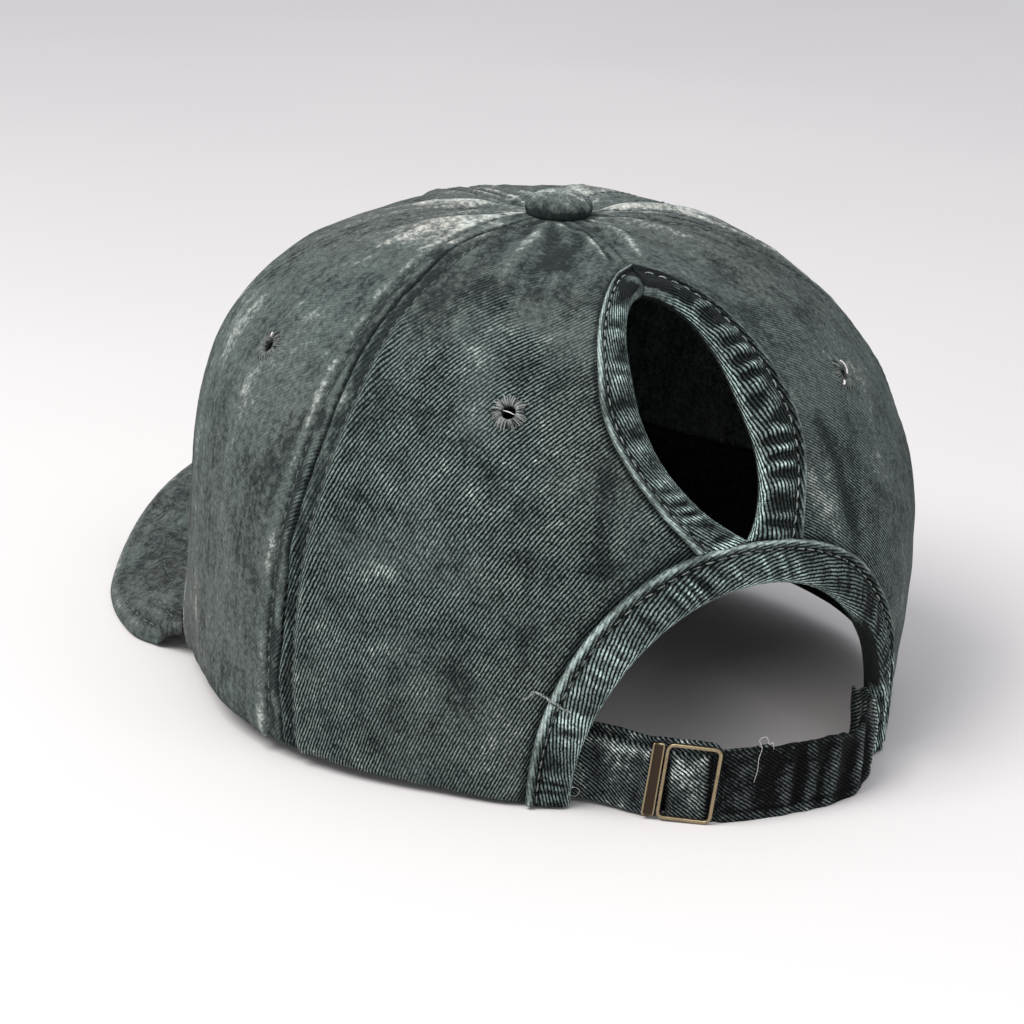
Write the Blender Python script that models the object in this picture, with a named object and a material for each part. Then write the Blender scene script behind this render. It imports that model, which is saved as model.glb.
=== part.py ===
# Ponytail baseball cap in washed cotton twill: six crown panels, a covered top button, six sewn
# eyelets, a curved brim, a sweatband, a bound ponytail opening, a bound rear arch and a strap
# with a slide buckle. The brim points to -Y, the rear to +Y and the wearer's left to +X.
# Named sizes and tables are in millimetres and degrees, and place() turns points into metres.
import math

import bmesh
import bpy
import numpy as np
from mathutils import Matrix, Vector

# Cloth and spacing
CLOTH = 1.8
BINDING_CLOTH = 1.15
STRAP_CLOTH = 1.5
GAP = 0.3
INNER_GAP = 0.4

# Smooth crown
HALF_WIDTH = 83.2
REAR_REACH = 87.9
FRONT_REACH = 97.6
CROWN_HEIGHT = 107.3
TOP_SHIFT = -5.4
MIDDLE_REACH = 90.0
WALL_POWER = 3.10
ROUND_POWER = 2.576
REAR_PINCH = 0.06
FRONT_PINCH = 0.02
WALL_BULGE = 0.044
REAR_FLARE = 7.2
FLARE_HEIGHT = 60.0

# How the cap rests: its rear rim and the brim's two sides touch the table
TILT = 3.2
REST_Y = 96.0
SINK = 0.4

# Rim height by angle from the rear
RIM_ANGLES = (100.0, 115.0, 125.0, 140.0, 160.0, 180.0)
RIM_HEIGHTS = (0.0, -1.8, -1.8, 2.0, 7.0, 9.0)

# Sideways lean of the soft rear middle by height
LEAN_HEIGHTS = (0.0, 30.0, 50.0, 65.0, 85.0, 96.0, 104.0, 106.9)
LEFT_LEAN_X = (-4.6, -3.2, -1.4, 2.3, 4.6, 4.6, 3.8, 0.0)
RIGHT_LEAN_X = (0.4, -1.6, -1.2, 2.3, 4.6, 4.6, 3.8, 0.0)
LEAN_BLEND = 14.0

# Soft swells and dents: angle, rise, lift, spread in angle, spread in rise
SWELLS = (
    (118.0, 0.50, 4.0, 26.0, 0.16),
    (-118.0, 0.50, 3.0, 26.0, 0.16),
    (112.0, 0.22, -1.2, 26.0, 0.12),
    (165.0, 0.82, -2.2, 26.0, 0.12),
    (-62.0, 0.35, 3.1, 22.0, 0.20),
    (-125.0, 0.93, -1.6, 35.0, 0.05),
    (130.0, 0.02, 2.8, 14.0, 0.07),
    (30.0, 0.0, -3.4, 7.0, 0.11),
    (58.0, 0.30, -1.3, 12.0, 0.16),
    (32.0, 0.66, -1.6, 11.0, 0.10),
    (95.0, 0.22, -1.6, 12.0, 0.12),
    (-36.0, 0.72, -1.8, 12.0, 0.09),
    (150.0, 0.35, 1.6, 16.0, 0.20),
    (-146.0, 0.35, 1.4, 16.0, 0.20),
)

# Gathers running down from the button: angle, rise of the middle, lift, spread in angle, in rise
GATHERS = (
    (14.0, 0.88, 1.0, 6.0, 0.07),
    (46.0, 0.84, 1.3, 6.0, 0.10),
    (63.0, 0.78, -1.0, 5.0, 0.10),
    (100.0, 0.82, 1.2, 6.0, 0.10),
    (136.0, 0.84, 1.2, 7.0, 0.09),
    (158.0, 0.80, -1.0, 6.0, 0.10),
    (-16.0, 0.89, 1.0, 6.0, 0.06),
    (-48.0, 0.83, 1.2, 7.0, 0.10),
    (-93.0, 0.80, 1.1, 6.0, 0.10),
    (-134.0, 0.84, 1.2, 7.0, 0.09),
    (-160.0, 0.82, -1.0, 6.0, 0.09),
)

# Panel seams
BACK_SEAM_RISES = (0.0, 0.16, 0.32, 0.50, 0.70, 0.87, 1.0)
BACK_SEAM_ANGLES = (79.2, 77.8, 75.4, 73.7, 72.6, 78.0, 80.0)
FRONT_SEAM_ANGLE = 117.0
SEAM_VALLEY = 0.6
SEAM_VALLEY_REACH = 2.2
SEAM_RIDGE = 0.7
SEAM_RIDGE_AT = 6.0
SEAM_RIDGE_REACH = 2.6
SEAM_STEP = 3.4

# Rear arch: half widths, heights and the power of its rounded outline
ARCH_INNER_WIDTH = 40.5
ARCH_INNER_TOP = 50.4
ARCH_OUTER_WIDTH = 47.2
ARCH_OUTER_TOP = 58.7
ARCH_INNER_POWER = 2.03
ARCH_OUTER_POWER = 2.2
ARCH_STATION_ANGLES = (0.0, 11.0, 22.0, 33.0, 43.0, 52.0, 60.0, 67.0, 74.0, 81.0, 90.0)

# Ponytail opening, one row per section from its foot to its top:
# inner half width, inner height, outer half width, outer height
HOLE_SECTIONS = (
    (0.15, 59.2, 12.6, 57.6),
    (3.2, 61.6, 14.5, 60.8),
    (6.4, 64.6, 16.7, 64.4),
    (9.4, 68.4, 18.9, 68.4),
    (11.9, 72.8, 20.9, 72.8),
    (13.4, 77.4, 22.2, 77.4),
    (13.8, 82.0, 22.5, 82.0),
    (13.5, 86.4, 21.6, 86.4),
    (12.7, 90.4, 19.8, 90.7),
    (11.4, 94.2, 17.4, 94.9),
    (9.4, 97.6, 14.2, 98.6),
    (6.6, 100.2, 10.0, 101.6),
    (3.4, 101.8, 5.2, 103.6),
    (0.15, 102.5, 0.15, 104.6),
)
HOLE_DIP = 3.9
BAND_EDGE = 0.17
BAND_TURN = 0.13

# Crown mesh
PANEL_ROWS = 15
BACK_MIDDLE_COLUMNS = 4
SIDE_MIDDLE_COLUMNS = 4
FRONT_MIDDLE_COLUMNS = 8
TOP_RADIUS = 4.6

# Button
BUTTON_PROFILE = (
    (0.0, 4.3),
    (2.6, 4.15),
    (4.8, 3.6),
    (6.6, 2.6),
    (7.6, 1.4),
    (7.8, 0.6),
    (7.2, 0.3),
    (3.4, 0.3),
    (3.4, -2.4),
    (0.0, -2.4),
)
BUTTON_SIDES = 18

# Eyelets: sewn rings through the panels
EYELET_PLACES = (
    ("back_left", 38.2, 0.520),
    ("back_right", -43.2, 0.501),
    ("side_left", 94.5, 0.509),
    ("side_right", -94.5, 0.509),
    ("front_left", 148.0, 0.513),
    ("front_right", -148.0, 0.513),
)
EYELET_HOLE_RADIUS = 2.6
EYELET_PROFILE = (
    (1.3, 0.6),
    (1.7, 1.1),
    (2.6, 1.25),
    (3.3, 0.95),
    (3.6, 0.4),
    (2.25, 0.35),
    (2.25, -1.9),
    (1.3, -1.9),
)
EYELET_SIDES = 12

# Sweatband inside the rim
SWEATBAND_START = 40.0
SWEATBAND_RISES = (0.008, 0.07, 0.13, 0.19)
SWEATBAND_CLOTH = 1.2
SWEATBAND_GAP = 0.55
SWEATBAND_STEP = 5.0

# Brim: upper edge of the outline from the centre to the rear corner of one side
BRIM_OUTLINE = (
    (0.0, -151.0, 8.6),
    (13.9, -149.6, 7.8),
    (27.5, -145.4, 5.6),
    (40.2, -138.5, 2.2),
    (51.6, -129.2, -2.0),
    (60.6, -119.0, -6.1),
    (68.1, -107.3, -8.5),
    (73.4, -95.8, -8.0),
    (77.2, -83.6, -7.3),
    (79.4, -71.6, -6.4),
    (79.6, -63.0, -5.9),
    (77.2, -55.5, -5.2),
)
BRIM_THICKNESS = 3.0
BRIM_INNER_LIFT = 1.1
BRIM_CAMBER = 1.6
BRIM_STEPS = (0.0, 0.12, 0.3, 0.52, 0.76, 0.93, 1.0)
BRIM_EDGE_DROP = 0.5

# Strap and buckle
# Plan of the strap's outer face from its right end to its left end
STRAP_PLAN = (
    (-39.0, 71.6),
    (-38.0, 74.4),
    (-37.5, 77.4),
    (-36.8, 80.8),
    (-35.4, 84.6),
    (-32.4, 89.0),
    (-28.4, 92.9),
    (-24.2, 95.7),
    (-18.8, 97.7),
    (-12.0, 98.6),
    (-4.0, 98.4),
    (3.0, 97.8),
    (9.0, 96.6),
    (15.2, 95.2),
    (20.3, 91.2),
    (23.9, 86.0),
    (27.2, 80.2),
    (30.6, 75.2),
    (34.1, 71.6),
    (37.9, 68.0),
    (42.2, 64.6),
)
STRAP_FOOT = 0.2
STRAP_HEIGHT = 16.4
STRAP_LEAN = 0.04
BUCKLE_X = 17.4
BUCKLE_SLANT = 0.09
FLAT_FROM = -6.6
FLAT_TO = 9.8
FRAME_LENGTH = 12.4
FRAME_HEIGHT = 17.6
BUCKLE_MIDDLE = 9.25
FRAME_WIRE = 1.15
FRAME_CORNER = 1.8
CLAMP_LENGTH = 2.7
CLAMP_HEIGHT = 16.8
CLAMP_THICKNESS = 0.9
CLAMP_CORNER = 0.6
STRAP_WRINKLES = ((-58.0, 0.5, 3.2), (-50.0, -0.7, 3.0), (-42.0, 0.6, 3.2), (-32.0, 0.4, 4.5))

TURNS = np.linspace(0.0, math.pi / 2, 400)
REACHES = MIDDLE_REACH * np.clip(np.cos(TURNS), 0.0, 1.0) ** (2 / WALL_POWER)
HEIGHTS = CROWN_HEIGHT * np.sin(TURNS) ** (2 / ROUND_POWER)
SPANS = np.hypot(np.diff(REACHES), np.diff(HEIGHTS))
RISES = np.concatenate(([0.0], np.cumsum(SPANS))) / SPANS.sum()
TOP_RISE = float(np.interp(-TOP_RADIUS, -REACHES, RISES))


def rise_at(height):
    """Share of the way up the crown wall at a height above the rim."""
    return float(np.interp(height, HEIGHTS, RISES))


def bare_point(angle, rise):
    """Point of the plain oval crown, before lean and swells."""
    turn = float(np.interp(rise, RISES, TURNS))
    share = math.sin(turn) ** (2 / ROUND_POWER)
    height = CROWN_HEIGHT * share
    reach = max(math.cos(turn), 1e-5) ** (2 / WALL_POWER)
    reach *= 1 + WALL_BULGE * math.sin(math.pi * share)
    across = math.sin(math.radians(angle))
    along = math.cos(math.radians(angle))
    waist = REAR_PINCH if along >= 0 else FRONT_PINCH
    pinch = 1 - waist * math.sin(math.radians(2 * angle)) ** 2
    half_length = FRONT_REACH
    if along >= 0:
        half_length = REAR_REACH + REAR_FLARE * max(0.0, 1 - height / FLARE_HEIGHT) ** 1.3
    x = HALF_WIDTH * across * pinch * reach
    y = TOP_SHIFT + (half_length * along * pinch - TOP_SHIFT) * reach
    return Vector((x, y, height))


def turned(angle):
    """The angle brought between -180 and 180."""
    return (angle + 180.0) % 360.0 - 180.0


def smooth_point(angle, rise):
    """Crown point with the rim line, the lean of the rear and the large swells."""
    point = bare_point(angle, rise)
    share = point.z / CROWN_HEIGHT
    leftward = min(max(0.5 + turned(angle) / (2 * LEAN_BLEND), 0.0), 1.0)
    lean = leftward * float(np.interp(point.z, LEAN_HEIGHTS, LEFT_LEAN_X))
    lean += (1 - leftward) * float(np.interp(point.z, LEAN_HEIGHTS, RIGHT_LEAN_X))
    lean *= max(0.0, math.cos(math.radians(angle))) ** 2
    around = abs(turned(angle))
    point.z += float(np.interp(around, RIM_ANGLES, RIM_HEIGHTS)) * (1 - share) ** 2
    outward = Vector((point.x / HALF_WIDTH**2, (point.y - TOP_SHIFT) / MIDDLE_REACH**2, 0.0))
    outward.z = 1.2 * point.z / CROWN_HEIGHT**2
    outward.normalize()
    for swell_angle, swell_rise, lift, spread, rise_spread in SWELLS:
        aside = turned(angle - swell_angle) / spread
        above = (rise - swell_rise) / rise_spread
        point += outward * lift * math.exp(-(aside**2) - above**2)
    point.x += lean
    return point


def outward_at(angle, rise):
    """Unit normal of the smooth crown, pointing out."""
    low = max(rise - 0.004, 0.0)
    up = smooth_point(angle, low + 0.008) - smooth_point(angle, low)
    side = smooth_point(angle + 0.5, rise) - smooth_point(angle - 0.5, rise)
    normal = up.cross(side)
    normal.normalize()
    if normal.dot(smooth_point(angle, rise) - Vector((0.0, TOP_SHIFT, 20.0))) < 0:
        normal.negate()
    return normal


def hole_share(angle, rise):
    """Place across the ponytail binding: 0 at the opening, 1 at the outer edge and past it."""
    point = bare_point(angle, rise)
    inner_x = np.array([row[0] for row in HOLE_SECTIONS])
    inner_z = np.array([row[1] for row in HOLE_SECTIONS])
    outer_x = np.array([row[2] for row in HOLE_SECTIONS])
    outer_z = np.array([row[3] for row in HOLE_SECTIONS])
    if abs(angle) > 60 or not outer_z[0] < point.z < outer_z[-1]:
        return 1.0
    near = float(np.interp(point.z, inner_z, inner_x, left=0.0, right=0.0))
    far = float(np.interp(point.z, outer_z, outer_x))
    return min(max((abs(point.x) - near) / max(far - near, 0.5), 0.0), 1.0)


def hole_dip(angle, rise):
    """How far the cloth falls in towards the ponytail opening."""
    height = bare_point(angle, rise).z
    foot = HOLE_SECTIONS[0][1]
    top = HOLE_SECTIONS[-1][1]
    if not foot < height < top:
        return 0.0
    share = (height - foot) / (top - foot)
    return HOLE_DIP * math.sin(math.pi * share) * (1 - hole_share(angle, rise)) ** 1.4


def back_seam(rise):
    """Angle of the seam between back and side panels."""
    return float(np.interp(rise, BACK_SEAM_RISES, BACK_SEAM_ANGLES))


def fold_height(angle, rise):
    """Outer relief: valleys and ridges beside the seams, and gathers under the button."""
    point = bare_point(angle, rise)
    radius = math.hypot(point.x, point.y - TOP_SHIFT)
    around = abs(turned(angle))
    seams = [back_seam(rise), FRONT_SEAM_ANGLE, 180.0]
    if point.z > HOLE_SECTIONS[-1][3]:
        seams.append(0.0)
    relief = 0.0
    for seam in seams:
        aside = abs(around - seam) * math.radians(1) * radius
        relief -= SEAM_VALLEY * math.exp(-((aside / SEAM_VALLEY_REACH) ** 2))
        ridge = (aside - SEAM_RIDGE_AT) / SEAM_RIDGE_REACH
        relief += SEAM_RIDGE * math.exp(-(ridge**2))
    for fold_angle, fold_rise, lift, spread, rise_spread in GATHERS:
        aside = turned(angle - fold_angle) / spread
        above = (rise - fold_rise) / rise_spread
        relief += lift * math.exp(-(aside**2) - above**2)
    fade = min(1.0, max(0.0, (radius - 9.0) / 9.0))
    if around > 108:
        fade *= min(1.0, rise / 0.06)
    if around < 50 and point.z < HOLE_SECTIONS[-1][3] + 1:
        fade *= hole_share(angle, rise) ** 4
    return relief * fade


def crown_point(angle, rise, lift=0.0, folded=False):
    """Crown point raised by lift along the normal, with the outer folds if folded."""
    raised = lift - hole_dip(angle, rise)
    if folded:
        raised += fold_height(angle, rise)
    return smooth_point(angle, rise) + outward_at(angle, rise) * raised


def angle_of(half_width, rise):
    """Angle at which the plain crown is half_width from the middle plane."""
    low, high = 0.0, 80.0
    for _ in range(36):
        middle = (low + high) / 2
        if bare_point(middle, rise).x < half_width:
            low = middle
        else:
            high = middle
    return (low + high) / 2


def place(point):
    """Cap point in millimetres, tilted onto the table and turned into metres."""
    tilt = math.radians(TILT)
    back = point.y - REST_Y
    y = REST_Y + back * math.cos(tilt) + point.z * math.sin(tilt)
    z = point.z * math.cos(tilt) - back * math.sin(tilt) - SINK
    return Vector((point.x, y, max(z, 0.0))) * 0.001


def new_collection(name):
    group = bpy.data.collections.new(name)
    bpy.context.scene.collection.children.link(group)
    return group


def cloth_material(name, color, roughness=0.9, metallic=0.0):
    material = bpy.data.materials.new(name)
    material.use_nodes = True
    shader = material.node_tree.nodes["Principled BSDF"]
    shader.inputs["Base Color"].default_value = (*color, 1.0)
    shader.inputs["Roughness"].default_value = roughness
    shader.inputs["Metallic"].default_value = metallic
    material.diffuse_color = (*color, 1.0)
    return material


def add_object(name, mesh_data, material, group, smooth=True):
    """Turn a bmesh into a named object of one material."""
    bmesh.ops.recalc_face_normals(mesh_data, faces=mesh_data.faces[:])
    if mesh_data.calc_volume(signed=True) < 0:
        bmesh.ops.reverse_faces(mesh_data, faces=mesh_data.faces[:])
    mesh = bpy.data.meshes.new(name)
    mesh_data.to_mesh(mesh)
    mesh_data.free()
    if smooth:
        mesh.shade_smooth()
    mesh.materials.append(material)
    thing = bpy.data.objects.new(name, mesh)
    group.objects.link(thing)
    return thing


def sheet(name, columns, rows, spot, material, group):
    """A grid given thickness and mapped by spot(column, row, layer), layer 0 outside, 1 inside."""
    grid = bmesh.new()
    bmesh.ops.create_grid(grid, x_segments=columns - 1, y_segments=rows - 1, size=0.5)
    bmesh.ops.solidify(grid, geom=grid.faces[:], thickness=1.0)
    depths = [vert.co.z for vert in grid.verts]
    middle = (min(depths) + max(depths)) / 2
    for vert in grid.verts:
        column = round((vert.co.x + 0.5) * (columns - 1))
        row = round((vert.co.y + 0.5) * (rows - 1))
        layer = 1 if vert.co.z < middle else 0
        vert.co = place(spot(column, row, layer))
    return add_object(name, grid, material, group)


def loft(name, rings, material, group):
    """A closed tube through rings of points, capped at both ends."""
    tube = bmesh.new()
    loops = [[tube.verts.new(point) for point in ring] for ring in rings]
    for first, second in zip(loops, loops[1:]):
        for i in range(len(first)):
            j = (i + 1) % len(first)
            tube.faces.new((first[i], first[j], second[j], second[i]))
    tube.faces.new(loops[0])
    tube.faces.new(loops[-1])
    return add_object(name, tube, material, group)


def lathe(name, profile, sides, matrix, material, group):
    """A profile of radius and height spun round the local Z axis."""
    turned_mesh = bmesh.new()
    verts = [turned_mesh.verts.new((radius, 0.0, height)) for radius, height in profile]
    edges = [turned_mesh.edges.new(pair) for pair in zip(verts, verts[1:])]
    if profile[0][0] > 0:
        edges.append(turned_mesh.edges.new((verts[-1], verts[0])))
    bmesh.ops.spin(
        turned_mesh,
        geom=verts + edges,
        cent=(0.0, 0.0, 0.0),
        axis=(0.0, 0.0, 1.0),
        angle=math.tau,
        steps=sides,
        use_merge=True,
        use_duplicate=False,
    )
    bmesh.ops.remove_doubles(turned_mesh, verts=turned_mesh.verts[:], dist=1e-4)
    for vert in turned_mesh.verts:
        vert.co = matrix @ vert.co
    return add_object(name, turned_mesh, material, group)


def frame_at(angle, rise):
    """Matrix in metres that sets local Z along the crown's normal at a spot."""
    origin = crown_point(angle, rise)
    normal = outward_at(angle, rise)
    spot = place(origin)
    ahead = place(origin + normal) - spot
    ahead.normalize()
    turn = ahead.to_track_quat("Z", "Y").to_matrix().to_4x4()
    return Matrix.Translation(spot) @ turn @ Matrix.Scale(0.001, 4)


def spread(width, middle_columns):
    """Column places across a panel, close together beside the two seams."""
    step = min(SEAM_STEP, 0.09 * width)
    inner = np.linspace(2 * step, width - 2 * step, middle_columns + 2)
    return [0.0, step, *inner, width - step, width]


def arch_curve(width, top, power, station):
    """Half width and height of the arch outline at a station angle."""
    turn = math.radians(station)
    half_width = width * max(math.cos(turn), 0.0) ** (2 / power)
    return half_width, top * math.sin(turn) ** (2 / power)


def arch_sections():
    """Inner and outer outline points of one side of the arch, foot to top."""
    sections = []
    for station in ARCH_STATION_ANGLES:
        inner = arch_curve(ARCH_INNER_WIDTH, ARCH_INNER_TOP, ARCH_INNER_POWER, station)
        outer = arch_curve(ARCH_OUTER_WIDTH, ARCH_OUTER_TOP, ARCH_OUTER_POWER, station)
        sections.append((*inner, *outer))
    return sections


def across_band(section, share):
    """Angle and rise at a share of the way from a section's inner to its outer point."""
    width = section[0] + (section[2] - section[0]) * share
    height = section[1] + (section[3] - section[1]) * share
    rise = rise_at(height)
    return angle_of(width, rise), rise


def band_outer_width(height):
    """Half width reached by the arch or ponytail binding at a height."""
    reach = 0.0
    if height < ARCH_OUTER_TOP:
        share = 1 - (height / ARCH_OUTER_TOP) ** ARCH_OUTER_POWER
        reach = ARCH_OUTER_WIDTH * share ** (1 / ARCH_OUTER_POWER)
    heights = [row[3] for row in HOLE_SECTIONS]
    widths = [row[2] for row in HOLE_SECTIONS]
    if heights[0] < height < heights[-1]:
        reach = max(reach, float(np.interp(height, heights, widths)))
    return reach


def back_panel_rows():
    """Rows of a back panel: inner edge angle, its rise, outer band angle and seam rise."""
    edges = [across_band(section, BAND_EDGE) for section in arch_sections()[:-1]]
    edges.append((0.0, rise_at(ARCH_INNER_TOP + BAND_EDGE * 8.3)))
    edges.append((0.0, rise_at(57.4)))
    edges += [across_band(section, BAND_EDGE) for section in HOLE_SECTIONS[1:-1]]
    edges.append((0.0, rise_at(HOLE_SECTIONS[-1][1] + 0.9)))
    top_rises = np.linspace(edges[-1][1], TOP_RISE, 7)[1:]
    edges += [(0.0, float(rise)) for rise in top_rises]
    rows = []
    for i, (angle, rise) in enumerate(edges):
        height = float(np.interp(rise, RISES, HEIGHTS))
        reach = band_outer_width(height)
        band_angle = angle_of(reach, rise) if reach > 0 else 0.0
        even = TOP_RISE * i / (len(edges) - 1)
        rows.append((angle, rise, band_angle, 0.5 * rise + 0.5 * even))
    return rows


def panel_radius(angle, rise):
    point = smooth_point(angle, rise)
    return math.hypot(point.x, point.y - TOP_SHIFT)


def half_gap(angle, rise):
    """Half the seam gap as an angle."""
    return math.degrees(GAP / 2 / panel_radius(angle, rise))


def back_panel_spots(side):
    """Angle and rise of every column and row of a back panel."""
    spots = []
    for inner, inner_rise, band, seam_rise in back_panel_rows():
        inner = max(inner, half_gap(0.0, inner_rise) * 1.3)
        seam = back_seam(seam_rise) - half_gap(back_seam(seam_rise), seam_rise)
        scale = math.radians(panel_radius(40.0, inner_rise))
        width = (seam - inner) * scale
        lead = min(max((band - inner) * scale, 0.10 * width), 0.6 * width)
        step = min(SEAM_STEP, 0.08 * width)
        middle = np.linspace(lead, width - 2 * step, BACK_MIDDLE_COLUMNS + 2)
        places = [0.0, lead * 0.3, lead * 0.63, *middle, width - step, width]
        row = []
        for place_across in places:
            share = place_across / width
            angle = inner + (seam - inner) * share
            tied = max(0.0, (place_across - lead) / (width - lead))
            row.append((side * angle, inner_rise + (seam_rise - inner_rise) * tied))
        spots.append(row)
    return spots


def plain_panel_spots(side, first, last, middle_columns):
    """Angle and rise of every column and row of a side or front panel."""
    spots = []
    for i in range(PANEL_ROWS):
        rise = TOP_RISE * i / (PANEL_ROWS - 1)
        start = first(rise)
        end = last(rise)
        start += half_gap(start, rise)
        end -= half_gap(end, rise)
        width = math.radians(end - start) * panel_radius(side * (start + end) / 2, rise)
        row = []
        for place_across in spread(width, middle_columns):
            row.append((side * (start + (end - start) * place_across / width), rise))
        spots.append(row)
    return spots


def add_panel(name, spots, material, group):
    def spot(column, row, layer):
        angle, rise = spots[row][column]
        if layer == 0:
            return crown_point(angle, rise, 0.0, True)
        return crown_point(angle, rise, -CLOTH)

    return sheet(name, len(spots[0]), len(spots), spot, material, group)


def cut_eyelet(panel, matrix, material, cutters):
    """Cut the round hole that an eyelet is sewn through."""
    cutter = bmesh.new()
    bmesh.ops.create_cone(
        cutter,
        cap_ends=True,
        segments=EYELET_SIDES,
        radius1=EYELET_HOLE_RADIUS,
        radius2=EYELET_HOLE_RADIUS,
        depth=9.0,
    )
    bmesh.ops.transform(cutter, matrix=matrix, verts=cutter.verts[:])
    tool = add_object("cutter_" + panel.name, cutter, material, cutters, smooth=False)
    tool.hide_render = True
    tool.display_type = "WIRE"
    cut = panel.modifiers.new("eyelet_hole", "BOOLEAN")
    cut.operation = "DIFFERENCE"
    cut.solver = "EXACT"
    cut.object = tool


def binding_ring(section, side):
    """The folded cloth of a binding round a panel edge at one station."""
    top = GAP + BINDING_CLOTH
    under = -CLOTH - INNER_GAP
    low = under - BINDING_CLOTH
    outline = (
        (1.0, GAP),
        (1.0, top + 0.2),
        (0.86, top - 0.05),
        (0.45, top + 0.05),
        (0.10, top - 0.15),
        (0.0, 0.2),
        (0.0, -CLOTH - 0.4),
        (0.10, low + 0.15),
        (0.5, low),
        (1.0, low),
        (1.0, under),
        (0.5, under),
        (BAND_TURN, under),
        (BAND_TURN, GAP),
        (0.5, GAP),
    )
    ring = []
    for share, lift in outline:
        angle, rise = across_band(section, share)
        ring.append(place(crown_point(side * angle, rise, lift)))
    return ring


def centred(section, side):
    """A section at the middle plane, moved off it by half the gap."""
    return tuple(max(value, 0.15) if i % 2 == 0 else value for i, value in enumerate(section))


def strap_path():
    """Plan points of the strap's outer face by length from the buckle's middle."""
    marks = np.arange(len(STRAP_PLAN))
    fine = np.linspace(0, len(STRAP_PLAN) - 1, 12 * len(STRAP_PLAN))
    xs = np.interp(fine, marks, [row[0] for row in STRAP_PLAN])
    ys = np.interp(fine, marks, [row[1] for row in STRAP_PLAN])
    for _ in range(20):
        xs[1:-1] = (xs[:-2] + 2 * xs[1:-1] + xs[2:]) / 4
        ys[1:-1] = (ys[:-2] + 2 * ys[1:-1] + ys[2:]) / 4
    lengths = np.concatenate(([0.0], np.cumsum(np.hypot(np.diff(xs), np.diff(ys)))))
    lengths -= np.interp(BUCKLE_X, xs, lengths)
    flat = (lengths > FLAT_FROM) & (lengths < FLAT_TO)
    ends = np.array([FLAT_FROM, FLAT_TO])
    xs[flat] = np.interp(lengths[flat], ends, np.interp(ends, lengths, xs))
    ys[flat] = np.interp(lengths[flat], ends, np.interp(ends, lengths, ys))
    return lengths, xs, ys


STRAP_LENGTHS, STRAP_XS, STRAP_YS = strap_path()


def strap_point(length, height, depth):
    """Point at a length along the strap, a height above the rim and a depth inside its face."""
    x = float(np.interp(length, STRAP_LENGTHS, STRAP_XS))
    y = float(np.interp(length, STRAP_LENGTHS, STRAP_YS))
    ahead_x = float(np.interp(length + 1.5, STRAP_LENGTHS, STRAP_XS))
    ahead_y = float(np.interp(length + 1.5, STRAP_LENGTHS, STRAP_YS))
    behind_x = float(np.interp(length - 1.5, STRAP_LENGTHS, STRAP_XS))
    behind_y = float(np.interp(length - 1.5, STRAP_LENGTHS, STRAP_YS))
    out = Vector((behind_y - ahead_y, ahead_x - behind_x, 0.0))
    out.normalize()
    inward = depth + height * STRAP_LEAN
    return Vector((x, y, height)) - out * inward


def strap_wrinkle(length, height):
    """Shallow upright folds near the strap's right end."""
    relief = 0.0
    for middle, lift, reach in STRAP_WRINKLES:
        relief += lift * math.exp(-(((length - middle) / reach) ** 2))
    return relief * math.sin(math.pi * min(max(height / STRAP_HEIGHT, 0.0), 1.0)) ** 0.5


def add_strap(name, lengths, depths, top, material, group):
    """A strap of cloth through given lengths, each with its own depth."""
    heights = (STRAP_FOOT, STRAP_FOOT + 0.5 * top, STRAP_FOOT + top)

    def spot(column, row, layer):
        length = lengths[column]
        height = heights[row]
        depth = depths[column] + layer * STRAP_CLOTH
        return strap_point(length, height, depth - strap_wrinkle(length, height))

    return sheet(name, len(lengths), len(heights), spot, material, group)


def rounded_box_path(length, height, corner, corner_steps):
    """Points round a rectangle with rounded corners, centred on the origin."""
    points = []
    for quarter in range(4):
        turn = quarter * math.pi / 2
        sign_x = 1 if quarter in (0, 3) else -1
        sign_z = 1 if quarter in (0, 1) else -1
        for step in range(corner_steps + 1):
            a = turn + math.pi / 2 * step / corner_steps
            x = sign_x * (length / 2 - corner) + corner * math.cos(a)
            z = sign_z * (height / 2 - corner) + corner * math.sin(a)
            points.append((x, z))
    return points


def buckle_point(x, z, lift):
    """Placed point of the slanting buckle, x along the strap and z up from its middle."""
    return place(strap_point(x - BUCKLE_SLANT * z, BUCKLE_MIDDLE + z, -lift))


def add_frame(name, material, group):
    """Rectangular wire frame of the buckle, lying on the strap's outer face."""
    ring = bmesh.new()
    outer = rounded_box_path(FRAME_LENGTH, FRAME_HEIGHT, FRAME_CORNER, 3)
    inner = rounded_box_path(
        FRAME_LENGTH - 2 * FRAME_WIRE,
        FRAME_HEIGHT - 2 * FRAME_WIRE,
        FRAME_CORNER - FRAME_WIRE,
        3,
    )
    loops = []
    for path in (outer, inner):
        for lift in (GAP, GAP + FRAME_WIRE):
            spots = [buckle_point(x, z, lift) for x, z in path]
            loops.append([ring.verts.new(spot) for spot in spots])
    outer_low, outer_high, inner_low, inner_high = loops
    for first, second in (
        (outer_low, outer_high),
        (outer_high, inner_high),
        (inner_high, inner_low),
        (inner_low, outer_low),
    ):
        for i in range(len(first)):
            j = (i + 1) % len(first)
            ring.faces.new((first[i], first[j], second[j], second[i]))
    return add_object(name, ring, material, group)


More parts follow.
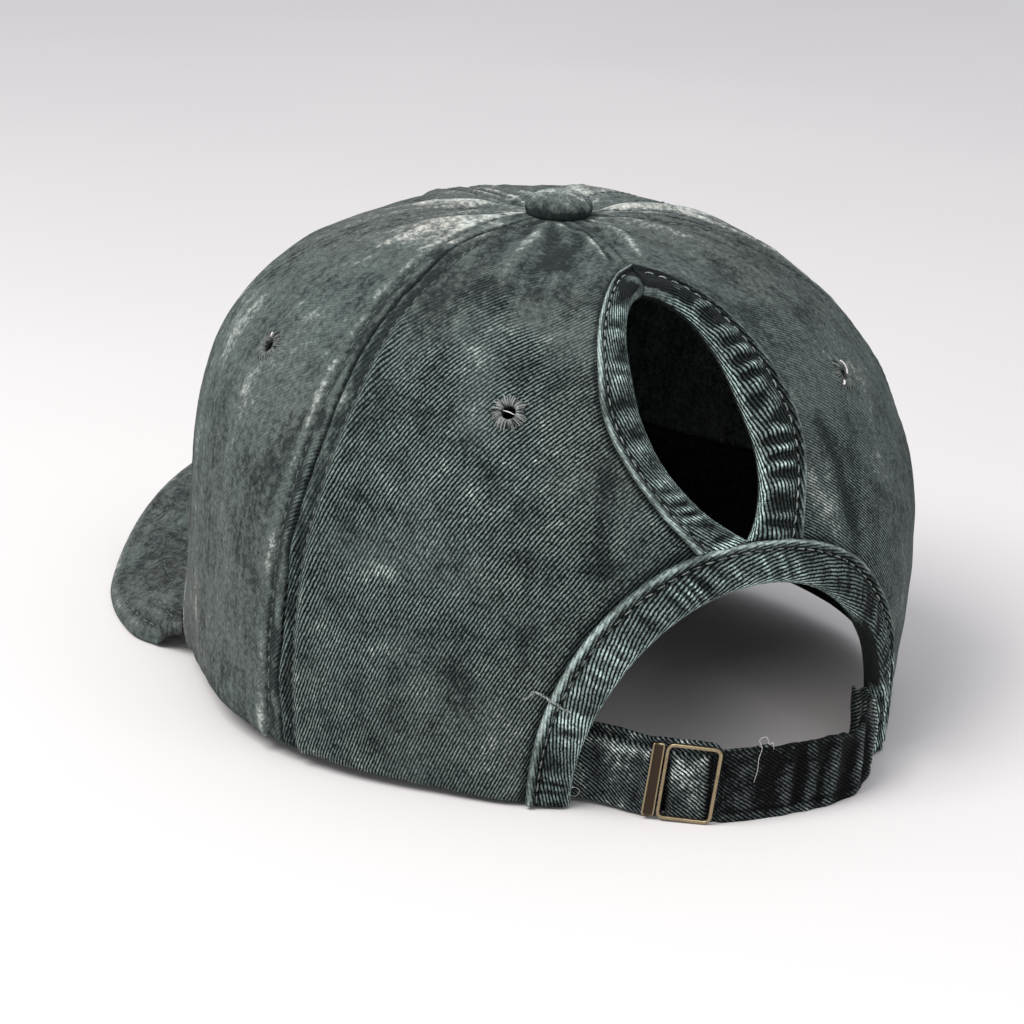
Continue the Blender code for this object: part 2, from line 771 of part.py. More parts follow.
def add_clamp(name, material, group):
    """Flat clamp bar beside the frame, over the left strap."""
    plate = bmesh.new()
    start = FRAME_LENGTH / 2 + GAP + CLAMP_LENGTH / 2
    path = rounded_box_path(CLAMP_LENGTH, CLAMP_HEIGHT, CLAMP_CORNER, 2)
    low = []
    high = []
    for x, z in path:
        low.append(plate.verts.new(buckle_point(start + x, z, GAP)))
        high.append(plate.verts.new(buckle_point(start + x, z, GAP + CLAMP_THICKNESS)))
    for i in range(len(path)):
        j = (i + 1) % len(path)
        plate.faces.new((low[i], low[j], high[j], high[i]))
    plate.faces.new(low)
    plate.faces.new(high)
    return add_object(name, plate, material, group, smooth=False)


def brim_spot(across, out):
    """Upper face of the brim: across -1 to 1 along the seam, out 0 at the crown to 1 at the edge."""
    angle = 180.0 - (180.0 - FRONT_SEAM_ANGLE - 1.0) * across
    root = crown_point(angle, 0.0, BRIM_INNER_LIFT)
    root.z += BRIM_THICKNESS
    index = abs(across) * (len(BRIM_OUTLINE) - 1)
    low = min(int(index), len(BRIM_OUTLINE) - 2)
    part = index - low
    edge = Vector(BRIM_OUTLINE[low]).lerp(Vector(BRIM_OUTLINE[low + 1]), part)
    edge.x = math.copysign(edge.x, across) if across else 0.0
    point = root.lerp(edge, out)
    point.z += BRIM_CAMBER * math.sin(math.pi * out)
    return point


def add_brim(name, material, group):
    columns = 2 * (len(BRIM_OUTLINE) - 1) * 1 + 1

    def spot(column, row, layer):
        across = -1 + 2 * column / (columns - 1)
        out = BRIM_STEPS[row]
        point = brim_spot(across, out)
        if out == 1.0:
            point.z -= BRIM_EDGE_DROP
        thickness = BRIM_THICKNESS - (2 * BRIM_EDGE_DROP if out == 1.0 else 0.0)
        point.z -= layer * thickness
        return point

    return sheet(name, columns, len(BRIM_STEPS), spot, material, group)


def add_sweatband(name, material, group):
    count = int((360 - 2 * SWEATBAND_START) / SWEATBAND_STEP) + 1
    angles = np.linspace(SWEATBAND_START, 360 - SWEATBAND_START, count)
    outer = -CLOTH - SWEATBAND_GAP

    def spot(column, row, layer):
        lift = outer - layer * SWEATBAND_CLOTH
        return crown_point(float(angles[column]), SWEATBAND_RISES[row], lift)

    return sheet(name, count, len(SWEATBAND_RISES), spot, material, group)


def centre_over_origin(things):
    """Slide every mesh so that the whole cap is centred over the origin."""
    corners = [vert.co for thing in things for vert in thing.data.vertices]
    x_middle = (min(c.x for c in corners) + max(c.x for c in corners)) / 2
    y_middle = (min(c.y for c in corners) + max(c.y for c in corners)) / 2
    return Matrix.Translation((-x_middle, -y_middle, 0.0))


def build():
    for thing in list(bpy.data.objects):
        bpy.data.objects.remove(thing)
    parts = new_collection("ponytail_baseball_cap")
    cutters = new_collection("cutters")
    twill = (0.075, 0.092, 0.089)
    band = (0.06, 0.075, 0.073)
    lining = (0.025, 0.028, 0.028)
    brass = (0.32, 0.26, 0.17)
    cutter_material = cloth_material("cutter", (0.5, 0.5, 0.5))

    panels = {}
    for side, word in ((1, "left"), (-1, "right")):
        spots = {
            "back": back_panel_spots(side),
            "side": plain_panel_spots(
                side, back_seam, lambda rise: FRONT_SEAM_ANGLE, SIDE_MIDDLE_COLUMNS
            ),
            "front": plain_panel_spots(
                side, lambda rise: FRONT_SEAM_ANGLE, lambda rise: 180.0, FRONT_MIDDLE_COLUMNS
            ),
        }
        for place_name, places in spots.items():
            name = "panel_" + place_name + "_" + word
            material = cloth_material(name, twill)
            panels[name] = add_panel(name, places, material, parts)

    for place_name, angle, rise in EYELET_PLACES:
        matrix = frame_at(angle, rise)
        cut_eyelet(panels["panel_" + place_name], matrix, cutter_material, cutters)
        name = "eyelet_" + place_name
        material = cloth_material(name, band)
        lathe(name, EYELET_PROFILE, EYELET_SIDES, matrix, material, parts)

    lathe(
        "top_button",
        BUTTON_PROFILE,
        BUTTON_SIDES,
        frame_at(0.0, 0.9995),
        cloth_material("top_button", twill),
        parts,
    )

    arch = [centred(section, 1) for section in arch_sections()]
    rings = [binding_ring(section, 1) for section in arch[:-1]]
    rings.append([(a + b) / 2 for a, b in zip(binding_ring(arch[-1], 1), binding_ring(arch[-1], -1))])
    rings += [binding_ring(section, -1) for section in reversed(arch[:-1])]
    loft("arch_binding", rings, cloth_material("arch_binding", band), parts)

    for side, word in ((1, "left"), (-1, "right")):
        rings = [binding_ring(section, side) for section in HOLE_SECTIONS]
        name = "ponytail_binding_" + word
        loft(name, rings, cloth_material(name, band), parts)

    left_end = STRAP_LENGTHS[-1]
    right_end = STRAP_LENGTHS[0]
    lengths = [*np.linspace(left_end, 11.0, 10), 8.4, 7.1, 5.9, 2.0, -4.0, -10.0, -15.0, -20.0]
    depths = [0.0] * 11 + [0.9, 1.9, 1.9, 1.9, 1.9, 1.9, 1.9]
    strap_left = cloth_material("strap_left", band)
    add_strap("strap_left", lengths, depths, STRAP_HEIGHT, strap_left, parts)
    lengths = [*np.linspace(right_end, -8.0, 17), -3.0, 1.5, 5.2]
    strap_right = cloth_material("strap_right", band)
    add_strap("strap_right", lengths, [0.0] * 20, STRAP_HEIGHT, strap_right, parts)

    add_frame("buckle_frame", cloth_material("buckle_frame", brass, 0.35, 1.0), parts)
    add_clamp("buckle_clamp", cloth_material("buckle_clamp", brass, 0.4, 1.0), parts)
    add_brim("brim", cloth_material("brim", twill), parts)
    add_sweatband("sweatband", cloth_material("sweatband", lining), parts)

    shift = centre_over_origin(parts.objects)
    for thing in [*parts.objects, *cutters.objects]:
        thing.data.transform(shift)


build()
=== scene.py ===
# Looks of the ponytail baseball cap: washed twill panels with puckered seams, folded bindings,
# a wrinkled strap in an antique brass buckle, sewn eyelets, a covered button, brim and sweatband.
# Shapes are worked out in the cap's own frame, in millimetres and degrees, as in the CAD source:
# angle runs round the crown from the rear towards the wearer's left, and rise up its wall, 0 to 1.
import math

import bpy
import numpy as np
from mathutils import Matrix, Vector


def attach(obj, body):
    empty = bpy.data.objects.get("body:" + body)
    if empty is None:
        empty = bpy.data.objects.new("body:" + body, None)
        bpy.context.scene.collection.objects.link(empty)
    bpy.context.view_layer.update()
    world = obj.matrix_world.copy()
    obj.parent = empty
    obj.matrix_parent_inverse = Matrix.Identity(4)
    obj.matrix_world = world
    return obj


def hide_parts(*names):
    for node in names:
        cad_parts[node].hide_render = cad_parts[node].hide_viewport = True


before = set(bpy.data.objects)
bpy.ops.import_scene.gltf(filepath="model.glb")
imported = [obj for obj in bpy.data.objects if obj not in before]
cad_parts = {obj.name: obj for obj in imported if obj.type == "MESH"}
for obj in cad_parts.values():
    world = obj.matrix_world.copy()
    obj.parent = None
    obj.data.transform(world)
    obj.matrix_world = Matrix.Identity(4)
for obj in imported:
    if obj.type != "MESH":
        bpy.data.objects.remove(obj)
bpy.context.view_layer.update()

# Camera
CAMERA_EYE = (0.34309, 0.63181, 0.26041)
CAMERA_AZIMUTH = 151.24
CAMERA_ELEVATION = 17.56
CAMERA_ROLL = 1.23
CAMERA_LENS = 108.68

# Cloth and the gap between parts, as in the CAD; panels overlap a hair at their seams
CLOTH = 1.8
GAP = 0.3
SEAM_GAP = -0.12

# Smooth crown, as in the CAD
HALF_WIDTH = 83.2
REAR_REACH = 87.9
FRONT_REACH = 97.6
CROWN_HEIGHT = 107.3
TOP_SHIFT = -5.4
MIDDLE_REACH = 90.0
WALL_POWER = 3.10
ROUND_POWER = 2.576
REAR_PINCH = 0.06
FRONT_PINCH = 0.02
WALL_BULGE = 0.044
REAR_FLARE = 7.2
FLARE_HEIGHT = 60.0
TILT = 3.2
REST_Y = 96.0
SINK = 0.4
FRAME_SHIFT = np.array((0.6223, 25.7072, 0.0))
RIM_ANGLES = (100.0, 115.0, 125.0, 140.0, 160.0, 180.0)
RIM_HEIGHTS = (0.0, -1.8, -1.8, 2.0, 7.0, 9.0)
LEAN_HEIGHTS = (0.0, 30.0, 50.0, 65.0, 85.0, 96.0, 104.0, 106.9)
LEFT_LEAN_X = (-4.6, -3.2, -1.4, 2.3, 4.6, 4.6, 3.8, 0.0)
RIGHT_LEAN_X = (0.4, -1.6, -1.2, 2.3, 4.6, 4.6, 3.8, 0.0)
LEAN_BLEND = 14.0

# Soft swells and dents: angle, rise, lift, spread in angle, spread in rise
SWELLS = (
    (118.0, 0.50, 4.0, 26.0, 0.16), (-118.0, 0.50, 3.0, 26.0, 0.16),
    (112.0, 0.22, -1.2, 26.0, 0.12), (165.0, 0.82, -2.2, 26.0, 0.12),
    (-62.0, 0.35, 3.1, 22.0, 0.20), (-125.0, 0.93, -1.6, 35.0, 0.05),
    (130.0, 0.02, 2.8, 14.0, 0.07), (30.0, 0.0, -3.4, 7.0, 0.11), (58.0, 0.30, -1.3, 12.0, 0.16),
    (32.0, 0.66, -1.6, 11.0, 0.10), (95.0, 0.22, -1.6, 12.0, 0.12), (-36.0, 0.72, -1.8, 12.0, 0.09),
    (150.0, 0.35, 1.6, 16.0, 0.20), (-146.0, 0.35, 1.4, 16.0, 0.20),
)

# Gathers running down from the button: angle, rise, lift, spread in angle, spread in rise
GATHERS = (
    (14.0, 0.88, 1.0, 6.0, 0.07), (46.0, 0.84, 1.3, 6.0, 0.10), (63.0, 0.78, -1.0, 5.0, 0.10),
    (100.0, 0.82, 1.2, 6.0, 0.10), (136.0, 0.84, 1.2, 7.0, 0.09), (158.0, 0.80, -1.0, 6.0, 0.10),
    (-16.0, 0.89, 1.0, 6.0, 0.06), (-48.0, 0.83, 1.2, 7.0, 0.10), (-93.0, 0.80, 1.1, 6.0, 0.10),
    (-134.0, 0.84, 1.2, 7.0, 0.09), (-160.0, 0.82, -1.0, 6.0, 0.09),
)

# Pleats round the button
PLEATS = 17

# Worn creases: first angle and rise, last angle and rise, tone (pale above 0), reach in millimetres
CREASES = (
    (46.5, 0.652, 32.5, 0.630, 0.8, 2.6), (32.5, 0.630, 19.5, 0.679, 0.7, 2.4),
    (33.0, 0.738, 23.0, 0.812, 0.8, 1.8), (23.0, 0.812, 4.5, 0.867, 0.9, 2.0),
    (54.0, 0.632, 49.0, 0.600, 0.7, 2.2), (60.0, 0.792, 62.5, 0.733, 1.0, 2.6),
    (42.0, 0.904, 29.5, 0.785, -1.0, 3.0), (12.5, 0.904, 29.5, 0.785, -1.1, 3.0),
    (-4.0, 0.928, -8.0, 0.805, 0.9, 1.6), (-24.0, 0.805, -17.0, 0.679, 0.8, 1.4),
    (-15.0, 0.700, -16.0, 0.615, -1.2, 2.2), (-17.5, 0.425, -17.5, 0.333, 0.9, 3.0),
    (-26.0, 0.470, -24.0, 0.330, -1.1, 3.0), (109.0, 0.330, 101.0, 0.020, 0.9, 1.6),
    (106.0, 0.300, 98.0, 0.060, -0.6, 2.2), (24.0, 0.330, 21.0, 0.440, -0.9, 3.0),
)

# Panel seams: rows of stitches, rope of folded cloth, puckers and the ridge beside them
BACK_SEAM_RISES = (0.0, 0.10, 0.25, 0.42, 0.52, 0.62, 0.72, 0.80, 0.90, 1.0)
BACK_SEAM_ANGLES = (75.8, 75.8, 74.7, 72.9, 72.8, 73.6, 73.4, 76.6, 78.8, 80.0)
FRONT_SEAM_ANGLE = 117.0
SEAM_STITCH_OFFSET = 3.6
SEAM_REACH = 12.0
GROOVE_DEPTH = 1.3
ROPE_OFFSET = 1.35
ROPE_REACH = 0.95
ROPE_TWIST = 2.7
PUCKER_STEP = 3.6
RIDGE_OFFSET = 2.2
RIDGE_REACH = 1.5

# Rear arch: half widths, heights and the power of its rounded outline
ARCH_INNER = (40.5, 50.4, 2.03)
ARCH_OUTER = (47.2, 58.7, 2.2)

# Ponytail opening from its foot to its top: inner half width and height, outer half width and
# height; then how far it falls in, where the panels are cut under it, and the hole for the button
HOLE_SECTIONS = np.array(
    (
        (0.15, 59.2, 12.6, 57.6), (3.2, 61.6, 14.5, 60.8), (6.4, 64.6, 16.7, 64.4),
        (9.4, 68.4, 18.9, 68.4), (11.9, 72.8, 20.9, 72.8), (13.4, 77.4, 22.2, 77.4),
        (13.8, 82.0, 22.5, 82.0), (13.5, 86.4, 21.6, 86.4), (12.7, 90.4, 19.8, 90.7),
        (11.4, 94.2, 17.4, 94.9), (9.4, 97.6, 14.2, 98.6), (6.6, 100.2, 10.0, 101.6),
        (3.4, 101.8, 5.2, 103.6), (0.15, 102.5, 0.15, 104.6),
    )
)
HOLE_DIP = 3.9
BAND_EDGE = 0.30
TOP_RADIUS = 4.6

# Wales: how plainly they show on each panel, low where the wash has blurred them, the way across
# them per millimetre round the panel and up it, and how that way turns from the panel's middle
WALES = {"back": 0.97, "side": 0.10, "front": 0.14}
WALE_RUN = (0.732, 0.641)
WALE_TURN = (0.0021, -0.0041, 0.0009)
WALE_CENTRE = 60.0
PANEL_ROWS = 158
PANEL_MIDDLES = {"back": 40.0, "side": 97.0, "front": 148.0}

# Folded binding: share of the way to its outer edge, and lift, from under the lip, over the
# outer face, round the fold at the opening, along the inner face and back between the layers
BINDING_PROFILE = (
    (0.99, 0.10), (1.03, 0.60), (1.03, 1.20), (0.99, 1.62), (0.93, 1.74), (0.88, 1.58),
    (0.83, 1.15), (0.79, 0.98), (0.72, 1.20), (0.57, 1.46), (0.40, 1.60), (0.26, 1.55),
    (0.14, 1.30), (0.05, 0.75), (0.00, -0.20), (0.00, -1.40), (0.04, -2.50), (0.12, -3.05),
    (0.30, -3.30), (0.55, -3.35), (0.85, -3.35), (1.00, -3.15), (0.98, -2.45), (0.60, -2.25),
    (0.24, -2.15), (0.20, -1.00), (0.24, 0.25), (0.60, 0.25),
)
BAND_WIDTH = 8.0
RIPPLE_STEP = 4.7
STITCH_SHARE = 0.80
STITCH_LIFT = 1.05
STITCH_PITCH = 2.9

# Folds across a binding: length from its foot, reach, slant over its width and lift
ARCH_FOLDS = ((22.5, 2.0, 4.0, 0.55), (150.0, 2.0, -2.0, 0.4))
HOLE_FOLDS = {"left": (), "right": ((30.0, 2.2, -3.0, 0.5),)}

# Eyelets: panel, angle and rise; radius of the hole in the cloth and of the thread; radius and
# height of points round the ring and along a loop of thread
EYELET_PLACES = (
    ("back_left", 38.2, 0.520), ("back_right", -43.2, 0.501), ("side_left", 94.5, 0.509),
    ("side_right", -94.5, 0.509), ("front_left", 148.0, 0.513), ("front_right", -148.0, 0.513),
)
EYELET_HOLE = 2.3
EYELET_SIDES = 48
EYELET_LOOPS = 60
EYELET_THREAD = 0.135
LOOP_THICKNESS = (0.6, 0.95, 1.0, 1.0, 1.0, 1.0, 1.0, 0.9, 0.5)
EYELET_RING = (
    (1.75, -1.5), (1.70, -0.2), (1.75, 0.30), (1.92, 0.62), (2.25, 0.76), (2.85, 0.62),
    (3.30, 0.30), (3.40, -0.3), (2.60, -0.9), (2.10, -1.9), (1.60, -1.9),
)
EYELET_LOOP = ((1.70, -0.7), (1.64, 0.15), (1.80, 0.68), (2.2, 0.95), (2.9, 0.86), (3.6, 0.50), (4.0, 0.0))

# Threads: height and share of the thickness along one stitch
THREAD_RADIUS = 0.17
THREAD_SIDES = 5
STITCH_ARCH = (-0.28, 0.05, 0.10, 0.10, 0.05, -0.28)
STITCH_THICKNESS = (0.7, 1.0, 1.05, 1.05, 1.0, 0.7)

# Loose threads on the strap: radius, then length from the buckle's middle, height and depth
STRAP_THREADS = (
    (0.048, ((-14.2, 9.6, -0.8), (-14.9, 12.4, -0.8), (-15.1, 15.0, -0.7), (-15.9, 17.0, -0.4),
             (-15.4, 18.8, 0.1), (-17.0, 19.4, -0.1), (-17.4, 17.8, -0.5), (-18.3, 18.2, -0.7),
             (-18.5, 16.6, -0.7))),
    (0.10, ((30.6, 7.0, -2.6), (29.0, 5.2, -2.9), (27.4, 4.4, -2.4), (26.0, 3.4, -1.6))),
    (0.05, ((28.6, 3.2, -2.2), (27.2, 1.8, -2.0), (25.4, 1.4, -1.6), (24.6, 2.8, -1.4),
            (26.0, 3.4, -1.7), (27.8, 2.2, -2.3), (26.8, 1.0, -2.1))),
)

# Loose ends at the eyelets: radius, number of the eyelet, then offsets right, up and out
EYELET_ENDS = (
    (0.13, 0, ((-1.3, 0.35, 0.0), (0.0, 0.1, 0.35), (1.4, -0.3, 0.2))),
    (0.26, 1, ((3.4, 2.8, 0.3), (2.6, 1.6, 0.9), (1.9, 0.4, 1.0), (1.6, -0.4, 0.7))),
    (0.26, 1, ((-2.6, -1.0, 0.9), (-3.2, -1.5, 1.0), (-3.8, -1.6, 0.9))),
    (0.24, 2, ((-0.6, 2.0, 0.9), (-0.9, 2.5, 1.0), (-1.1, 3.0, 0.9))),
)

# Button: radius and height from the middle of its top to the middle of its underside
BUTTON_SIDES = 96
BUTTON_TUCKS = 11
BUTTON_RAISE = 1.1
BUTTON_PROFILE = (
    (0.12, 4.30), (1.6, 4.26), (3.2, 4.02), (4.8, 3.55), (6.1, 2.90), (7.1, 2.10), (7.7, 1.25),
    (7.75, 0.55), (7.3, 0.05), (6.0, 0.10), (3.4, 0.20), (3.4, -2.3), (0.12, -2.35),
)

# Brim: upper edge of the outline from the centre to the rear corner of one side
BRIM_OUTLINE = np.array(
    (
        (0.0, -151.0, 8.6), (13.9, -149.6, 7.8), (27.5, -145.4, 5.6), (40.2, -138.5, 2.2),
        (51.6, -129.2, -2.0), (60.6, -119.0, -6.1), (68.1, -107.3, -8.5), (73.4, -95.8, -8.0),
        (77.2, -83.6, -7.3), (79.4, -71.6, -6.4), (79.6, -63.0, -5.9), (77.2, -55.5, -5.2),
    )
)
BRIM_THICKNESS = 3.0
BRIM_INNER_LIFT = 1.1
BRIM_CAMBER = 1.6

# Stitched rows, by distance from the brim's edge
BRIM_ROWS = (3.2, 9.5, 16.5, 23.5, 30.5, 37.5, 44.5)

# Plan of the strap's outer face from its right end to its left end
STRAP_PLAN = (
    (-39.0, 71.6), (-38.0, 74.4), (-37.5, 77.4), (-36.8, 80.8), (-35.4, 84.6), (-32.4, 89.0),
    (-28.4, 92.9), (-24.2, 95.7), (-18.8, 97.7), (-12.0, 98.6), (-4.0, 98.4), (3.0, 97.8),
    (9.0, 96.6), (15.2, 95.2), (20.3, 91.2), (23.9, 86.0), (27.2, 80.2), (30.6, 75.2), (34.1, 71.6),
    (37.9, 68.0), (42.2, 64.6),
)
STRAP_FOOT = 0.2
STRAP_HEIGHT = 16.4
STRAP_LEAN = 0.04
STRAP_WALE_SLANT = 35.0
BUCKLE_X = 17.4
BUCKLE_SLANT = 0.09
FLAT_FROM = -6.6
FLAT_TO = 9.8
FRAME_LENGTH = 12.4
FRAME_HEIGHT = 17.6
BUCKLE_MIDDLE = 9.25
FRAME_WIRE = 1.15
WIRE_WIDTH = 0.85
WIRE_SIDES = 14
FRAME_CORNER = 1.8
CLAMP_LENGTH = 2.7
CLAMP_HEIGHT = 16.8
CLAMP_THICKNESS = 0.9

# Section of the clamp plate: shares of its half length and thickness, and how bright it is rubbed
CLAMP_PROFILE = (
    (-1.0, 0.1, 0.2), (-1.0, 0.95, 0.9), (-0.94, 1.08, 1.0), (-0.80, 1.08, 1.0), (-0.72, 0.90, 0.0),
    (-0.66, 0.80, -1.0), (0.0, 0.84, -1.0), (0.66, 0.80, -1.0), (0.72, 0.90, 0.0), (0.80, 1.08, 1.0),
    (0.94, 1.08, 1.0), (1.0, 0.95, 0.9), (1.0, 0.1, 0.2), (0.9, 0.0, -0.6), (-0.9, 0.0, -0.6),
)

# Folds of the strap: length from the buckle's middle, lift, reach and slant over its height
RIGHT_FOLDS = (
    (-13.0, 0.25, 3.0, 1.5), (-22.6, 0.55, 2.0, -1.0), (-25.4, -0.75, 1.3, -1.2),
    (-28.6, 0.55, 1.6, -2.0), (-31.6, -0.45, 1.2, -2.5), (-34.8, 0.70, 1.6, -3.0),
    (-39.6, -0.80, 2.0, -4.0), (-44.6, 0.85, 2.2, -3.5), (-49.0, -1.0, 1.8, 0.0),
    (-53.5, 1.0, 1.9, 1.0), (-57.0, -0.4, 1.5, -1.0), (-61.0, 1.3, 2.2, 1.0),
    (-64.6, 0.9, 1.4, 0.0), (-68.5, 1.4, 2.4, 0.0),
)
LEFT_FOLDS = (
    (26.0, 0.45, 2.2, 5.0), (21.0, -0.35, 2.0, 4.0), (16.0, 0.35, 2.4, 3.0), (11.6, -0.3, 1.0, 0.0),
)

# The crown's wall from its rim to its top: turns, reaches, heights and rises
TURNS = np.linspace(0.0, math.pi / 2, 400)
REACHES = MIDDLE_REACH * np.clip(np.cos(TURNS), 0.0, 1.0) ** (2 / WALL_POWER)
HEIGHTS = CROWN_HEIGHT * np.sin(TURNS) ** (2 / ROUND_POWER)
SPANS = np.hypot(np.diff(REACHES), np.diff(HEIGHTS))
WALL_LENGTH = SPANS.sum()
RISES = np.concatenate(([0.0], np.cumsum(SPANS))) / WALL_LENGTH
TOP_RISE = float(np.interp(-TOP_RADIUS, -REACHES, RISES))
UP = np.array((0.0, 0.0, 1.0))


# Seeded noise and small helpers


def noise(across, along, seed):
    """Smooth noise from -1 to 1 with a step of one unit both ways."""
    cells = 61
    table = np.random.default_rng(seed).uniform(-1.0, 1.0, (cells, cells))
    across, along = np.broadcast_arrays(across, along)
    column = np.floor(across).astype(int)
    row = np.floor(along).astype(int)
    a = ease(across - column)
    b = ease(along - row)

    def corner(up, right):
        return table[(row + up) % cells, (column + right) % cells]

    low = corner(0, 0) * (1 - a) + corner(0, 1) * a
    high = corner(1, 0) * (1 - a) + corner(1, 1) * a
    return low * (1 - b) + high * b


def bell(distance, reach):
    """A soft bump: 1 in its middle and faded out at twice its reach."""
    return np.exp(-((distance / reach) ** 2))


def swing(turns):
    """A wave from -1 to 1 that repeats with each whole turn."""
    return np.sin(2 * np.pi * turns)


def ease(value):
    """A soft step from 0 to 1."""
    value = np.clip(value, 0.0, 1.0)
    return value * value * (3 - 2 * value)


def unit(vectors):
    """Vectors scaled to a length of one."""
    return vectors / np.maximum(np.linalg.norm(vectors, axis=-1, keepdims=True), 1e-9)


def smooth_curve(points, count):
    """A Catmull-Rom curve through points, as count evenly numbered points."""
    points = np.asarray(points, float)
    padded = np.vstack([2 * points[:1] - points[1:2], points, 2 * points[-1:] - points[-2:-1]])
    place_on = np.linspace(0, len(points) - 1.000001, count)
    first = place_on.astype(int)
    t = (place_on - first)[:, None]
    a, b, c, d = (padded[first + i] for i in range(4))
    return 0.5 * (
        2 * b + (c - a) * t + (2 * a - 5 * b + 4 * c - d) * t**2 + (3 * b - a - 3 * c + d) * t**3
    )


# The crown's surface


def rise_at(height):
    """Share of the way up the wall at a height."""
    return np.interp(height, HEIGHTS, RISES)


def turned(angle):
    """The same angle from -180 to 180 degrees."""
    return (np.asarray(angle, float) + 180.0) % 360.0 - 180.0


def bare_point(angle, rise):
    """Points of the plain oval crown, before lean and swells."""
    angle, rise = np.broadcast_arrays(np.asarray(angle, float), np.asarray(rise, float))
    turn = np.interp(rise, RISES, TURNS)
    share = np.sin(turn) ** (2 / ROUND_POWER)
    height = CROWN_HEIGHT * share
    reach = np.maximum(np.cos(turn), 1e-5) ** (2 / WALL_POWER)
    reach = reach * (1 + WALL_BULGE * np.sin(np.pi * share))
    across = np.sin(np.radians(angle))
    along = np.cos(np.radians(angle))
    waist = np.where(along >= 0, REAR_PINCH, FRONT_PINCH)
    pinch = 1 - waist * np.sin(np.radians(2 * angle)) ** 2
    flare = REAR_FLARE * np.maximum(0.0, 1 - height / FLARE_HEIGHT) ** 1.3
    half_length = np.where(along >= 0, REAR_REACH + flare, FRONT_REACH)
    x = HALF_WIDTH * across * pinch * reach
    y = TOP_SHIFT + (half_length * along * pinch - TOP_SHIFT) * reach
    return np.stack([x, y, height], -1)


def smooth_point(angle, rise):
    """Crown points with the rim line, the lean of the rear and the large swells."""
    point = bare_point(angle, rise)
    share = point[..., 2] / CROWN_HEIGHT
    leftward = np.clip(0.5 + turned(angle) / (2 * LEAN_BLEND), 0.0, 1.0)
    lean = leftward * np.interp(point[..., 2], LEAN_HEIGHTS, LEFT_LEAN_X)
    lean = lean + (1 - leftward) * np.interp(point[..., 2], LEAN_HEIGHTS, RIGHT_LEAN_X)
    lean = lean * np.maximum(0.0, np.cos(np.radians(angle))) ** 2
    point[..., 2] += np.interp(np.abs(turned(angle)), RIM_ANGLES, RIM_HEIGHTS) * (1 - share) ** 2
    outward = np.stack(
        [
            point[..., 0] / HALF_WIDTH**2,
            (point[..., 1] - TOP_SHIFT) / MIDDLE_REACH**2,
            1.2 * point[..., 2] / CROWN_HEIGHT**2,
        ],
        -1,
    )
    outward = unit(outward)
    for swell_angle, swell_rise, lift, spread, rise_spread in SWELLS:
        amount = lift * bell(turned(angle - swell_angle), spread) * bell(rise - swell_rise, rise_spread)
        point = point + outward * amount[..., None]
    point[..., 0] += lean
    return point


def outward_at(angle, rise):
    """Unit normals of the smooth crown, pointing out."""
    low = np.maximum(rise - 0.004, 0.0)
    up = smooth_point(angle, low + 0.008) - smooth_point(angle, low)
    side = smooth_point(angle + 0.5, rise) - smooth_point(angle - 0.5, rise)
    normal = unit(np.cross(up, side))
    inside = smooth_point(angle, rise) - np.array((0.0, TOP_SHIFT, 20.0))
    facing = np.sign((normal * inside).sum(-1, keepdims=True))
    return normal * np.where(facing == 0, 1.0, facing)


def hole_share(angle, rise):
    """Place across the ponytail binding: 0 at the opening, 1 at the outer edge and past it."""
    point = bare_point(angle, rise)
    height = point[..., 2]
    near = np.interp(height, HOLE_SECTIONS[:, 1], HOLE_SECTIONS[:, 0], left=0.0, right=0.0)
    far = np.interp(height, HOLE_SECTIONS[:, 3], HOLE_SECTIONS[:, 2])
    share = np.clip((np.abs(point[..., 0]) - near) / np.maximum(far - near, 0.5), 0.0, 1.0)
    outside = (np.abs(turned(angle)) > 60) | (height <= HOLE_SECTIONS[0, 3])
    return np.where(outside | (height >= HOLE_SECTIONS[-1, 3]), 1.0, share)


def hole_dip(angle, rise):
    """How far the cloth falls in towards the ponytail opening."""
    height = bare_point(angle, rise)[..., 2]
    foot = HOLE_SECTIONS[0, 1]
    top = HOLE_SECTIONS[-1, 1]
    share = np.clip((height - foot) / (top - foot), 0.0, 1.0)
    return HOLE_DIP * np.sin(np.pi * share) * (1 - hole_share(angle, rise)) ** 1.4


def binding_gap(angle, rise):
    """Rough distance in millimetres outside the bindings' outer edges."""
    point = bare_point(angle, rise)
    width, top, power = ARCH_OUTER
    reach = (np.abs(point[..., 0]) / width) ** power + (point[..., 2] / top) ** power
    arch = (reach ** (1 / power) - 1) * width
    far = np.interp(point[..., 2], HOLE_SECTIONS[:, 3], HOLE_SECTIONS[:, 2])
    beside = (point[..., 2] < HOLE_SECTIONS[-1, 3]) & (np.abs(turned(angle)) < 60)
    hole = np.where(beside, np.abs(point[..., 0]) - far, 9.0)
    return np.minimum(np.where(np.abs(turned(angle)) < 60, arch, 9.0), hole)


def per_degree(radius):
    """Millimetres round the crown for one degree."""
    return np.radians(1.0) * radius


def back_seam(rise):
    """Angle of the seam between back and side panels."""
    return np.interp(rise, BACK_SEAM_RISES, BACK_SEAM_ANGLES)


def panel_radius(angle, rise):
    """Distance in millimetres from the crown's axis."""
    point = bare_point(angle, rise)
    return np.hypot(point[..., 0], point[..., 1] - TOP_SHIFT)


def crown_point(angle, rise, lift=0.0):
    """Smooth crown points raised by lift along the normal."""
    raised = lift - hole_dip(angle, rise)
    return smooth_point(angle, rise) + outward_at(angle, rise) * np.asarray(raised)[..., None]


